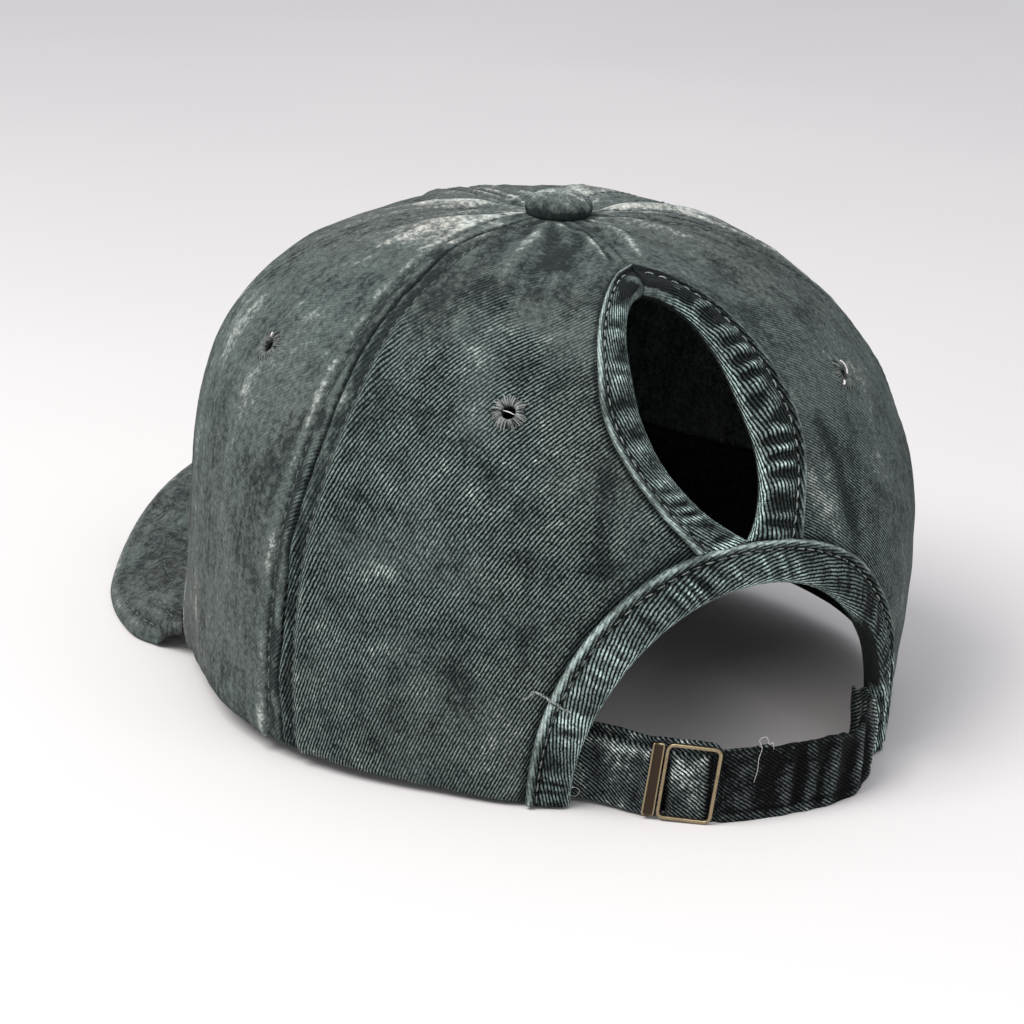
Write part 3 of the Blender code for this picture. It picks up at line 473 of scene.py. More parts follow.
def seam_relief(aside, along, seed, face):
    """Lift, and wear with painted shade, beside a seam: its groove, puckers, stitch rows and ridges;
    darker in the groove, hollows and stitch rows, paler on the rope and ridges, and paler towards face.
    """
    reach = np.abs(aside)
    side = np.where(aside > 0, 1.0, -1.0)
    drift = 0.45 * noise(along / 11.0, 0.0, seed) + 0.16 * noise(along / 2.6, 4.0, seed)
    centre = aside - drift
    lift = -GROOVE_DEPTH * bell(centre, 0.30)
    wear = -1.6 * bell(centre, 0.45)
    puff = noise(along / 5.5, side * 3.0, seed + 3)
    cord = swing(along / ROPE_TWIST + 0.55 * aside + 0.4 * puff)
    rope = bell(np.abs(centre) - ROPE_OFFSET, ROPE_REACH)
    patch = np.maximum(noise(along / 4.6, side * 7.0, seed + 7), 0.0) * bell(reach - 2.0, 1.0)
    lift += (0.44 + 0.20 * puff + 0.05 * cord) * rope - 0.5 * patch
    wear += (0.15 + 0.22 * cord + 0.70 * puff) * rope - 1.7 * patch
    row = bell(reach - SEAM_STITCH_OFFSET, 0.50)
    wide_row = bell(reach - SEAM_STITCH_OFFSET + 0.7, 1.1)
    pinch = 0.5 + 0.5 * noise(along / 4.2, side * 5.0, seed + 5)
    lift -= (0.34 + 0.20 * pinch) * row + 0.30 * pinch * wide_row
    wear -= (0.3 + 0.5 * pinch) * wide_row + 0.7 * row
    pull = swing(along / PUCKER_STEP + 0.8 * noise(along / 7.0, side * 2.0, seed + 1))
    lift += 0.05 * pull * bell(reach - 4.6, 1.2)
    ridge = 0.62 + 0.45 * noise(along / 12.0, side, seed + 2) + 0.04 * pull
    lift += ridge * bell(reach - SEAM_STITCH_OFFSET - RIDGE_OFFSET, RIDGE_REACH)
    lift -= 0.12 * bell(aside, 3.0)
    pale = np.where(aside * face < 0, 0.5, 1.4)
    wear += pale * ridge * bell(reach - SEAM_STITCH_OFFSET - 1.5, 0.85)
    return lift, wear


def crease_distance(across, along, radius, first_angle, first_rise, last_angle, last_rise):
    """Distance in millimetres from a straight crease between two spots of the crown."""
    start_x = math.radians(first_angle) * radius
    run_x = math.radians(last_angle - first_angle) * radius
    run_y = (last_rise - first_rise) * WALL_LENGTH
    offset_y = along - first_rise * WALL_LENGTH
    size = np.maximum(run_x**2 + run_y**2, 1.0)
    share = np.clip(((across - start_x) * run_x + offset_y * run_y) / size, 0.0, 1.0)
    return np.hypot(across - start_x - share * run_x, offset_y - share * run_y)


def seams_near(side, rise, height):
    """Angle, seed and strength of each seam that can lie near a spot."""
    return (
        (side * back_seam(rise), 11, 1.0),
        (side * FRONT_SEAM_ANGLE, 23, 0.35),
        (side * 180.0, 37, 1.0),
        (0.0, 41, ease((height - HOLE_SECTIONS[-1, 3]) / 1.5)),
    )


def relief(angle, rise):
    """Outer relief of the panels, and their wear with painted light and shade."""
    height = bare_point(angle, rise)[..., 2]
    radius = panel_radius(angle, rise)
    around = turned(angle)
    across = around * per_degree(radius)
    along = rise * WALL_LENGTH
    lift = np.zeros_like(radius)
    wear = np.zeros_like(radius)
    side = np.sign(around) + (around == 0)
    shy = np.where(around < 0, 0.7, 1.0)
    calm = shy * (1 - 0.55 * ease((rise - 0.64) / 0.16))
    for seam, seed, share in seams_near(side, rise, height):
        aside = (around - seam) * per_degree(radius)
        near = (np.abs(aside) < SEAM_REACH) * share
        seam_lift, seam_wear = seam_relief(aside, along + 40.0 * side, seed, side)
        lift += seam_lift * near * calm
        wear += seam_wear * near * shy
    for *ends, tone, reach in CREASES:
        crease = tone * bell(crease_distance(across, along, radius, *ends), reach)
        lift += 0.10 * crease
        wear += (0.45 if tone > 0 else 0.9) * crease
    # Gathers, and the pleats round the button below, are paler where raised and darker where sunk: wear
    # with painted light and shade
    for fold_angle, fold_rise, fold_lift, spread, rise_spread in GATHERS:
        fold = bell(turned(angle - fold_angle), spread) * bell(rise - fold_rise, rise_spread)
        lift += fold_lift * fold
        wear += 0.7 * fold_lift * fold
    open_cloth = ease(radius / 40.0)
    streaks = noise(around / 5.2, along / 42.0, 59) + 0.6 * noise(around / 2.3, along / 26.0, 57)
    beside = ease((np.abs(around) - back_seam(rise)) / 4.0)
    lift += 0.18 * streaks * beside * open_cloth
    wear += 0.34 * streaks * beside * open_cloth
    # Painted light: the side and front panels grow paler towards the top; the back panels darken towards
    # their top
    wear += beside * (0.2 * ease((rise - 0.4) / 0.2) + 0.42 * ease((rise - 0.66) / 0.2))
    wear -= (1 - beside) * 0.3 * ease((rise - 0.5) / 0.1)
    pleats = np.sin(np.radians(around) * PLEATS + 2.2 * noise(around / 40.0, rise * 7, 53))
    pleats *= bell(radius - 15.0, 11.0)
    lift += 0.45 * pleats
    wear += (0.55 - 0.25 * beside) * pleats
    fine = noise(around / 4.6, along / 6.0, 67)
    lift += (0.45 * noise(around / 13.0, along / 17.0, 61) + 0.16 * fine) * open_cloth
    wear += 0.18 * fine
    # Painted shade: a dark, slightly sunk line on the panels just outside the bindings' outer edges
    contact_shade = bell(binding_gap(angle, rise) - 0.3, 0.9)
    lift -= 0.25 * contact_shade
    wear -= 1.3 * contact_shade
    fade = np.clip((radius - 9.0) / 9.0, 0.0, 1.0)
    covered = (np.abs(around) < 50) & (height < HOLE_SECTIONS[-1, 3] + 1)
    fade = fade * np.where(covered, hole_share(angle, rise) ** 4, 1.0)
    return lift * fade, np.clip(wear, -1.2, 1.4)


def place(points):
    """Cap points in millimetres, tilted onto the table and turned into metres."""
    tilt = math.radians(TILT)
    back = points[..., 1] - REST_Y
    y = REST_Y + back * math.cos(tilt) + points[..., 2] * math.sin(tilt)
    z = points[..., 2] * math.cos(tilt) - back * math.sin(tilt) - SINK
    placed = np.stack([points[..., 0], y, np.maximum(z, 0.0)], -1)
    return (placed + FRAME_SHIFT) * 0.001


def place_direction(directions):
    """Directions of the cap's own frame, tilted with it."""
    tilt = math.radians(TILT)
    y = directions[..., 1] * math.cos(tilt) + directions[..., 2] * math.sin(tilt)
    z = directions[..., 2] * math.cos(tilt) - directions[..., 1] * math.sin(tilt)
    return np.stack([directions[..., 0], y, z], -1)


# Mesh building


def grid_faces(rows, columns, wrapped=False):
    """Four-cornered faces of a grid of points, joined round its rows where wrapped."""
    index = np.arange(rows * columns).reshape(rows, columns)
    if wrapped:
        index = np.hstack([index, index[:, :1]])
    corners = [index[:-1, :-1], index[:-1, 1:], index[1:, 1:], index[1:, :-1]]
    return np.stack(corners, -1).reshape(-1, 4)


def add_piece(name, points, faces, material, slot=None, nodes=(), cloth=None, wear=None):
    """A smooth mesh piece that rides on the cap, its faces turned outwards."""
    points = np.asarray(points, float).reshape(-1, 3)
    origin = points.mean(0)
    corners = [points[faces[:, i]] - origin for i in range(4)]
    volume = (np.cross(corners[0], corners[1]) * corners[2]).sum()
    volume += (np.cross(corners[0], corners[2]) * corners[3]).sum()
    if volume < 0:
        faces = faces[:, ::-1]
    mesh = bpy.data.meshes.new(name)
    tidy_faces = [list(dict.fromkeys(face)) for face in faces.tolist()]
    mesh.from_pydata(points.tolist(), [], tidy_faces)
    if cloth is not None:
        layer = mesh.attributes.new("cloth", "FLOAT_VECTOR", "POINT")
        layer.data.foreach_set("vector", np.asarray(cloth, np.float32).ravel())
    if wear is not None:
        layer = mesh.attributes.new("wear", "FLOAT", "POINT")
        layer.data.foreach_set("value", np.asarray(wear, np.float32).ravel())
    mesh.shade_smooth()
    mesh.materials.append(material)
    piece = bpy.data.objects.new(name, mesh)
    bpy.context.scene.collection.objects.link(piece)
    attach(piece, "root")
    if nodes:
        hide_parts(*nodes)
    return piece


def shell_faces(rows, columns, keep=None):
    """Faces of a two-layer sheet with a rim round its edge and round any cell left out."""
    outer = grid_faces(rows, columns)
    if keep is not None:
        outer = outer[keep.ravel()]
    count = rows * columns
    edges = np.vstack([outer[:, [i, (i + 1) % 4]] for i in range(4)])
    forward = edges[:, 0] * count + edges[:, 1]
    backward = edges[:, 1] * count + edges[:, 0]
    rim = edges[~np.isin(backward, forward)]
    walls = np.stack([rim[:, 1], rim[:, 0], rim[:, 0] + count, rim[:, 1] + count], -1)
    return np.vstack([outer, outer[:, ::-1] + count, walls])


def add_shell(name, outer, inner, material, keep=None, cloth=None, wear=None, **said):
    """A closed sheet between an outer and an inner grid of placed points."""
    rows, columns = outer.shape[:2]
    faces = shell_faces(rows, columns, keep)
    points = np.vstack([outer.reshape(-1, 3), inner.reshape(-1, 3)])
    cloth = np.vstack([cloth.reshape(-1, 3)] * 2)
    wear = np.concatenate([wear.ravel(), np.minimum(wear.ravel(), 0.0) - 0.2])
    used, faces = np.unique(faces, return_inverse=True)
    faces = faces.reshape(-1, 4)
    return add_piece(name, points[used], faces, material, cloth=cloth[used], wear=wear[used], **said)


def hoop_faces(stations, sides):
    """Faces of a ring-shaped tube, joined up both ways."""
    index = np.arange(stations * sides).reshape(stations, sides)
    after = np.roll(index, -1, 0)
    corners = [index, np.roll(index, -1, 1), np.roll(after, -1, 1), after]
    return np.stack(corners, -1).reshape(-1, 4)


def tube_faces(stations, sides):
    """Faces of a tube with a fan of triangles over each end."""
    walls = grid_faces(stations, sides, wrapped=True)
    fan = np.arange(1, sides - 1)
    start = np.stack([0 * fan, fan + 1, fan, 0 * fan], -1)
    end = np.stack([0 * fan, fan, fan + 1, 0 * fan], -1) + (stations - 1) * sides
    return np.vstack([walls, start, end])


def add_loft(name, rings, material, **said):
    """A closed tube through rings of placed points."""
    return add_piece(name, rings, tube_faces(*rings.shape[:2]), material, **said)


def tubes(paths, normals, radii):
    """Points and faces of many tubes along paths (n, steps, 3), with radii (n, steps)."""
    count, steps = paths.shape[:2]
    tangent = unit(np.gradient(paths, axis=1))
    side = unit(np.cross(tangent, normals))
    up = np.cross(side, tangent)
    turn = 2 * np.pi * np.arange(THREAD_SIDES) / THREAD_SIDES
    rings = paths[:, :, None] + radii[:, :, None, None] * (
        np.cos(turn)[:, None] * side[:, :, None] + np.sin(turn)[:, None] * up[:, :, None]
    )
    faces = tube_faces(steps, THREAD_SIDES)
    faces = faces[None] + np.arange(count)[:, None, None] * steps * THREAD_SIDES
    return rings.reshape(-1, 3), faces.reshape(-1, 4)


def add_threads(name, paths, ups, radii, material, **said):
    """Threads along paths in the cap's frame, as one piece; radii in millimetres."""
    radii = np.broadcast_to(radii, paths.shape[:2]) * 0.001
    points, faces = tubes(place(paths), place_direction(ups), radii)
    return add_piece(name, points, faces, material, slot="eyelet_thread", **said)


# Materials


class Nodes:
    """Short calls that add and join the nodes of one material."""

    def __init__(self, name):
        self.material = bpy.data.materials.new(name)
        self.material.use_nodes = True
        self.tree = self.material.node_tree
        self.shader = self.tree.nodes["Principled BSDF"]

    def join(self, value, socket):
        if isinstance(value, bpy.types.NodeSocket):
            self.tree.links.new(value, socket)
        else:
            socket.default_value = value

    def add(self, kind, inputs=None, output=0, **settings):
        node = self.tree.nodes.new(kind)
        for key, value in settings.items():
            setattr(node, key, value)
        for key, value in (inputs or {}).items():
            self.join(value, node.inputs[key])
        return node.outputs[output]

    def plus(self, a, b):
        return self.add("ShaderNodeMath", {0: a, 1: b}, operation="ADD")

    def minus(self, a, b):
        return self.add("ShaderNodeMath", {0: a, 1: b}, operation="SUBTRACT")

    def times(self, a, b):
        return self.add("ShaderNodeMath", {0: a, 1: b}, operation="MULTIPLY")

    def cosine(self, a):
        return self.add("ShaderNodeMath", {0: a}, operation="COSINE")

    def sway(self, value, amount):
        """A value from 0 to 1 turned into one that sways round 0."""
        return self.times(self.minus(value, 0.5), amount)

    def blend(self, first, first_share, second, second_share):
        return self.plus(self.times(first, first_share), self.times(second, second_share))

    def attribute(self, name, output="Fac"):
        return self.add("ShaderNodeAttribute", output=output, attribute_name=name)

    def spot(self):
        return self.add("ShaderNodeTexCoord", output="Object")

    def noise(self, vector, scale, detail=3.0, roughness=0.55):
        values = {"Vector": vector, "Scale": scale, "Detail": detail, "Roughness": roughness}
        return self.add("ShaderNodeTexNoise", values)

    def spread(self, value, low, high, to_low=0.0, to_high=1.0):
        """Softly maps low to high onto to_low to to_high."""
        values = {0: value, 1: low, 2: high, 3: to_low, 4: to_high}
        return self.add("ShaderNodeMapRange", values, interpolation_type="SMOOTHSTEP")

    def mix(self, factor, first, second, blend="MIX"):
        node = self.tree.nodes.new("ShaderNodeMix")
        node.data_type = "RGBA"
        node.blend_type = blend
        for number, value in ((0, factor), (6, first), (7, second)):
            self.join(value, node.inputs[number])
        return node.outputs[2]

    def combine(self, x, y, z=0.0):
        return self.add("ShaderNodeCombineXYZ", {0: x, 1: y, 2: z})

    def finish(self, base, roughness, height, strength, distance):
        """Joins colour, roughness and fine relief to the shader and hands back the material."""
        self.join(base, self.shader.inputs["Base Color"])
        self.join(roughness, self.shader.inputs["Roughness"])
        values = {"Strength": strength, "Distance": distance * 0.001, "Height": height}
        self.join(self.add("ShaderNodeBump", values), self.shader.inputs["Normal"])
        return self.material


def color(red, green, blue):
    """A colour named by its display values from 0 to 255, as linear light."""
    values = np.array((red, green, blue)) / 255
    linear = np.where(values <= 0.04045, values / 12.92, ((values + 0.055) / 1.055) ** 2.4)
    return (*[float(v) for v in linear], 1.0)


CHARCOAL = color(60, 70, 68)
DEEP = color(28, 34, 34)
PALE = color(143, 153, 148)
EARTH_TINT = (1.20, 1.00, 0.98, 1.0)
BRONZE = color(66, 56, 46)
BRASS = color(158, 142, 114)


def twill(name, wale=0.78, dark=DEEP, middle=CHARCOAL, pale=PALE, wear_gain=1.0, bump=0.2, earth=1.0):
    """Washed twill from the cloth attribute: across its wales, along them, and how plain they show."""
    n = Nodes(name)
    split = n.tree.nodes.new("ShaderNodeSeparateXYZ")
    n.join(n.attribute("cloth", "Vector"), split.inputs[0])
    across, along, plain = split.outputs
    blurred = n.minus(1.0, plain)
    flat = n.combine(across, along)
    spot = n.spot()

    # Wales: a wavy ridge each wale, broken up by yarns and grit
    wobble = n.sway(n.noise(flat, 0.22, 2.0), 0.6)
    wave = n.cosine(n.times(n.plus(across, wobble), 2 * math.pi / wale))
    wave = n.plus(n.times(wave, 0.5), 0.5)
    yarns = n.combine(n.times(across, 1.5), n.times(along, 0.8))
    grain = n.spread(n.noise(yarns, 1.5, 2.0, 0.6), 0.34, 0.66)
    grit = n.spread(n.noise(flat, 3.4, 1.0, 0.5), 0.3, 0.7)
    lit = n.times(wave, n.plus(n.blend(grain, 0.75, grit, 0.35), 0.30))

    # Wash: clouds, patches, fuzz and, where the wales are blurred, streaks up the crown
    clouds = n.spread(n.noise(spot, 30.0, 5.0, 0.62), 0.2, 0.8, 0.3, 0.7)
    patches = n.noise(spot, 150.0, 6.0, 0.78)
    fuzz = n.spread(n.noise(spot, 800.0, 4.0, 0.75), 0.32, 0.68)
    around = n.minus(n.times(across, 0.40), n.times(along, 0.35))
    upward = n.blend(across, 0.035, along, 0.04)
    streaks = n.sway(n.noise(n.combine(around, upward), 1.0, 4.0, 0.65), 0.9)
    # The attribute read here holds painted light and shade as well as real wear
    paleness = n.plus(n.times(n.attribute("wear"), 0.36 * wear_gain), clouds)
    paleness = n.plus(paleness, n.sway(patches, 1.25))
    paleness = n.plus(paleness, n.sway(fuzz, 0.26))
    paleness = n.plus(paleness, n.times(streaks, blurred))
    gentle = n.plus(n.times(paleness, 0.74), 0.15)
    paleness = n.blend(paleness, plain, gentle, blurred)

    # Colour: dark to pale with wear and painted light and shade, browner in broad clouds, then shaded by
    # wales or by fuzz
    base = n.mix(n.spread(paleness, 0.16, 0.62), dark, middle)
    base = n.mix(n.spread(paleness, 0.62, 1.20), base, pale)
    earthy = n.spread(n.noise(spot, 22.0, 4.0), 0.38, 0.64, 0.0, earth)
    earthy = n.times(n.plus(earthy, n.times(blurred, 0.9)), 0.5)
    base = n.mix(earthy, base, n.mix(1.0, base, EARTH_TINT, "MULTIPLY"))
    lined = n.spread(lit, 0.10, 0.98, 0.0, 4.2)
    soft = n.plus(n.times(fuzz, 0.95), 1.26)
    shade = n.plus(soft, n.times(plain, n.minus(lined, soft)))
    base = n.mix(1.0, base, n.combine(shade, shade, shade), "MULTIPLY")
    for socket, value in (("Sheen Weight", 0.02), ("Sheen Roughness", 0.5), ("Specular IOR Level", 0.1)):
        n.join(value, n.shader.inputs[socket])
    height = n.blend(lit, plain, fuzz, 0.5)
    return n.finish(base, n.spread(paleness, 0.2, 1.0, 0.96, 0.84), height, 0.8, bump)


def thread_material(name, base, pale):
    """Cotton thread with faint twist, paler where its attribute of wear and painted shade is high."""
    n = Nodes(name)
    spot = n.spot()
    fibre = n.noise(spot, 2600.0, 2.0)
    mixed = n.blend(fibre, 0.5, n.noise(spot, 420.0, 2.0), 0.5)
    mixed = n.plus(mixed, n.times(n.attribute("wear"), 0.25))
    base = n.mix(n.spread(mixed, 0.30, 0.70), base, pale)
    return n.finish(base, n.spread(fibre, 0.3, 0.7, 0.9, 0.7), fibre, 0.6, 0.1)


def brass_material(name):
    """Antique brass: brown on its faces, rubbed bright where the wear attribute is high."""
    n = Nodes(name)
    spot = n.spot()
    mottle = n.blend(n.noise(spot, 420.0, 4.0, 0.65), 0.7, n.noise(spot, 2400.0), 0.3)
    paleness = n.plus(n.times(n.attribute("wear"), 0.5), mottle)
    n.join(1.0, n.shader.inputs["Metallic"])
    base = n.mix(n.spread(paleness, 0.15, 1.0), BRONZE, BRASS)
    return n.finish(base, n.spread(paleness, 0.0, 1.0, 0.55, 0.34), mottle, 0.3, 0.1)


# Panels


def column_places(width):
    """Shares across a panel, close together beside both seams."""
    near_reach = 8.5
    near = np.concatenate([np.arange(0.0, 1.4, 0.28), np.arange(1.4, near_reach, 0.47)])
    middle_count = int((width - 2 * near_reach) / 1.05)
    middle = np.linspace(near_reach, width - near_reach, middle_count)
    return np.concatenate([near, middle, width - near[::-1]]) / width


def opening_edge(rise):
    """Half width of the back panel's cut edge under the arch and ponytail bindings."""
    height = np.interp(rise, RISES, HEIGHTS)
    width, top, power = (a + (b - a) * BAND_EDGE for a, b in zip(ARCH_INNER, ARCH_OUTER))
    arch = width * np.clip(1 - (height / top) ** power, 0.0, 1.0) ** (1 / power)
    edge = HOLE_SECTIONS[:, :2] + (HOLE_SECTIONS[:, 2:] - HOLE_SECTIONS[:, :2]) * BAND_EDGE
    return np.maximum(arch, np.interp(height, edge[:, 1], edge[:, 0], left=0.0, right=0.0))


def angle_of(half_width, rise):
    """Angle at which the plain crown is half_width from the middle plane."""
    half_width, rise = np.broadcast_arrays(half_width, rise)
    low = np.zeros_like(half_width, dtype=float)
    high = np.full_like(low, 80.0)
    for _ in range(36):
        middle = (low + high) / 2
        inside = bare_point(middle, rise)[..., 0] < half_width
        low = np.where(inside, middle, low)
        high = np.where(inside, high, middle)
    return (low + high) / 2


def panel_grid(side, which):
    """Angles and rises of the fine grid of a panel."""
    rise = np.linspace(0.0, TOP_RISE, PANEL_ROWS)
    front_seam = np.full(PANEL_ROWS, FRONT_SEAM_ANGLE)
    start, end = {
        "back": (angle_of(opening_edge(rise), rise), back_seam(rise)),
        "side": (back_seam(rise), front_seam),
        "front": (front_seam, np.full(PANEL_ROWS, 180.0)),
    }[which]
    radius = panel_radius((start + end) / 2, rise)
    half_gap = np.degrees(SEAM_GAP / 2 / np.maximum(radius, 1.0))
    start = np.maximum(start, half_gap) if which == "back" else start + half_gap
    end = end - half_gap
    width = np.radians(end - start).max() * radius.max()
    angle = start[:, None] + (end - start)[:, None] * column_places(width)[None, :]
    return side * angle, np.broadcast_to(rise[:, None], angle.shape)


def cloth_of(angle, rise, which, plain):
    """Cloth coordinates of a panel: across the wales, along them, and how plain the wales show."""
    u = (np.abs(turned(angle)) - PANEL_MIDDLES[which]) * per_degree(panel_radius(angle, rise))
    v = rise * WALL_LENGTH - WALE_CENTRE
    across = WALE_RUN[0] * u + WALE_RUN[1] * v
    across = across + WALE_TURN[0] * u**2 + WALE_TURN[1] * u * v + WALE_TURN[2] * v**2
    along = WALE_RUN[0] * v - WALE_RUN[1] * u
    return np.stack(np.broadcast_arrays(across, along, plain), -1)


def eyelet_distance(angle, rise, place_name):
    """Distance in millimetres from a panel's eyelet, over the surface."""
    _, eyelet_angle, eyelet_rise = next(row for row in EYELET_PLACES if row[0] == place_name)
    around = turned(angle - eyelet_angle) * per_degree(panel_radius(angle, rise))
    return np.hypot(around, (rise - eyelet_rise) * WALL_LENGTH)


def outer_point(angle, rise):
    """Points of the crown's outer face with its relief."""
    return crown_point(angle, rise, relief(angle, rise)[0])


def wale_strength(angle, rise, which, side):
    """How plainly the wales show: worn away towards the top, on the sides and on the far back panel."""
    blur = 0.22 * noise(angle / 9.0, rise * 16.0, 151)
    plain = WALES[which] * (1 - 0.9 * ease((rise - 0.57 - 0.25 * blur) / 0.15)) + blur * WALES[which]
    if which == "back" and side < 0:
        plain = plain * (0.35 + 0.65 * ease((44.0 + angle) / 14.0) * ease((0.52 - rise) / 0.1))
    seam_gap = np.abs(np.abs(turned(angle)) - back_seam(rise)) * per_degree(panel_radius(angle, rise))
    patchy = 0.55 + 0.5 * noise(angle / 2.5, rise * 22.0, 153)
    near_seam = 0.6 * bell(seam_gap, 4.2) * (1 - ease((rise - 0.36) / 0.22)) * patchy
    strip = ease((5.4 - seam_gap) / 1.6) * ease((rise - 0.26) / 0.14)
    plain = plain * (1 - 0.85 * strip * (1 - 0.35 * patchy))
    return np.clip(np.maximum(plain, near_seam), 0.0, 1.0)


def add_panel(side, word, which, material):
    """A panel with its relief, a pressed lower edge and a hole with a raised rim for its eyelet."""
    name = "panel_" + which + "_" + word
    angle, rise = panel_grid(side, which)
    lift, wear = relief(angle, rise)
    edge = -0.7 * bell(rise * WALL_LENGTH, 0.9)
    distance = eyelet_distance(angle, rise, which + "_" + word)
    lift = lift + edge + 0.35 * bell(distance - 3.2, 1.4) - 0.5 * bell(distance, 2.2)
    outer = place(crown_point(angle, rise, lift))
    inner = place(crown_point(angle, rise, -CLOTH - edge))
    cloth = cloth_of(angle, rise, which, wale_strength(angle, rise, which, side))
    keep = (distance[:-1, :-1] + distance[1:, 1:]) / 2 > EYELET_HOLE
    said = {"cloth": cloth, "wear": wear, "nodes": (name,), "slot": "crown_twill"}
    add_shell(name + "_cloth", outer, inner, material, keep, **said)


# Bindings


def arch_outline(shape, turn):
    """Half width and height of the arch outline at a turn from the foot, in degrees."""
    width, top, power = shape
    radians = np.radians(turn)
    half_width = width * np.maximum(np.cos(radians), 0.0) ** (2 / power)
    return half_width, top * np.sin(radians) ** (2 / power)


def arch_sections(count):
    """Inner and outer points of the arch binding from its left foot to its right foot."""
    turn = np.linspace(0.0, 180.0, count)
    folded = np.minimum(turn, 180.0 - turn)
    inner_width, inner_height = arch_outline(ARCH_INNER, folded)
    outer_width, outer_height = arch_outline(ARCH_OUTER, folded)
    side = np.where(turn <= 90.0, 1.0, -1.0)
    return np.stack([side * inner_width, inner_height, side * outer_width, outer_height], -1)


def even_sections(sections, count):
    """Sections set at even steps along the middle of the band."""
    middle = (sections[:, :2] + sections[:, 2:]) / 2
    length = np.concatenate(([0.0], np.cumsum(np.hypot(*np.diff(middle, axis=0).T))))
    even = np.linspace(0.0, length[-1], count)
    return np.stack([np.interp(even, length, sections[:, i]) for i in range(4)], -1), even


def band_point(sections, share, lift):
    """Points at shares (n) and lifts (m, n) across the sections (m, 4)."""
    width = sections[:, None, 0] + (sections[:, None, 2] - sections[:, None, 0]) * share
    height = sections[:, None, 1] + (sections[:, None, 3] - sections[:, None, 1]) * share
    height = np.maximum(height, 0.0)
    rise = rise_at(height)
    angle = angle_of(np.abs(width), rise) * np.sign(width)
    return crown_point(angle, rise, lift)


def fold_relief(length, share, folds):
    """Lift of the folds that lie across a binding, with wear and painted light and shade: paler on each
    crest, darker at each foot.
    """
    lift = 0.0 * (length + share)
    wear = 0.0 * lift
    for at, spread, slant, raised in folds:
        offset = (length - at + slant * share) / spread
        lift += raised * (ease(offset + 0.5) - ease((offset - 5.0) / 6.0))
        wear += 0.7 * bell(offset - 0.5, 0.6) - 0.9 * bell(offset + 0.7, 0.6)
    return lift, wear


def leg_relief(sections, share, outside, drift):
    """Wrinkles at the foot of the arch's right leg, and how far its inner side is in the dark."""
    leg = ease((-sections[:, 0:1] - 26.0) / 6.0)
    height = sections[:, 1:2]
    inward = leg * (1 - outside * ease((share - 0.02) / 0.08)) * ease((height - 15.0) / 5.0)
    low = leg * outside * ease((21.0 - height) / 5.0)
    return swing(2.6 * share + 0.04 * height + 0.25 * drift) * low, inward


def add_binding(node, sections, material, ripple, lean, folds, tint, sunk=0.0, dark_end=0.0, tucked=0.0):
    """A folded binding with a lip, a stitch groove and ripples across its face."""
    name = node + "_cloth"
    seed = len(name) * 3
    profile = smooth_curve(BINDING_PROFILE + BINDING_PROFILE[:1], 57)[:-1]
    share, level = profile.T
    outside = level > 0.6
    sections, length = even_sections(sections, len(sections))
    length = length[:, None]
    face = outside * bell(share - 0.40, 0.32)
    lip = outside * bell(share - 0.965, 0.042)
    groove = outside * bell(share - STITCH_SHARE, 0.05)
    drift = noise(length / 8.0, 0.0, seed) + 0.5 * noise(length / 3.5, 1.5, seed)
    strength = ripple * np.maximum(0.78 + 0.55 * noise(length / 9.0, 3.3, seed + 1), 0.2)
    waves = swing(length / RIPPLE_STEP + 0.95 * drift + 0.55 * share) * face * strength
    knots = 0.03 * np.sin(2 * np.pi * length / STITCH_PITCH + 3 * drift) * lip
    pulls = 0.16 * np.maximum(swing(length / STITCH_PITCH), 0.0) * groove
    swell = 0.22 * noise(length / 7.0, 2.0 * share, seed + 4) * outside * bell(share - 0.45, 0.4)
    fold_lift, fold_wear = fold_relief(length, share, folds)
    wrinkle, inward = leg_relief(sections, share, outside, drift)
    wrinkle = tucked * wrinkle
    inward = tucked * inward
    lift = level + waves + knots - pulls + swell - sunk + fold_lift * face
    lift += 0.30 * wrinkle * bell(share - 0.45, 0.35)
    tone = 0.35 * noise(length / 6.0, 0.0, seed + 6)
    # Painted shade: with dark_end the binding darkens towards its top end, where its wales fade too
    end = dark_end * ease((length / length[-1] - 0.84) / 0.10)
    # Painted light and shade: the ripples are paler on their crests and darker in their troughs; the lip
    # and the fold at the opening are paler, the stitch groove and the inner face darker
    wear = (1.0 + tone) * lip - 1.1 * groove + 3.1 * waves + (tone + tint) * outside
    wear -= 0.8 * end * outside * (1 - lip)
    wear += 0.75 * bell(share, 0.08) * (level > -1.5) - 1.2 * (level < -1.8)
    # Painted shade: the inner side of the arch's right leg is darkened; the wrinkles at its foot are paler
    # on their crests
    wear += fold_wear * face - 2.2 * inward + 0.9 * wrinkle
    steps = np.hypot(np.diff(share, prepend=share[0]) * BAND_WIDTH, np.diff(level, prepend=0))
    around = np.cumsum(steps)
    lean = math.radians(lean)
    run = np.cos(lean) * around + np.sin(lean) * length
    rest = np.cos(lean) * length - np.sin(lean) * around
    plain = (1 - 0.85 * outside * bell(share - 0.97, 0.06)) * (1 - 0.8 * end) * (1 - 0.9 * inward)
    cloth = np.stack(np.broadcast_arrays(run, rest, plain), -1)
    said = {"cloth": cloth, "wear": np.clip(wear, -1.3, 1.4), "nodes": (node,), "slot": "binding_twill"}
    add_loft(name, place(band_point(sections, share, lift)), material, **said)


def band_row(sections, share, lift):
    """Points and normals of a row along a binding."""
    sections, _ = even_sections(sections, 4 * len(sections))
    points = band_point(sections, np.array([share]), np.array([lift]))[:, 0]
    raised = band_point(sections, np.array([share]), np.array([lift + 1.0]))[:, 0]
    return points, unit(raised - points)


# Stitches and threads


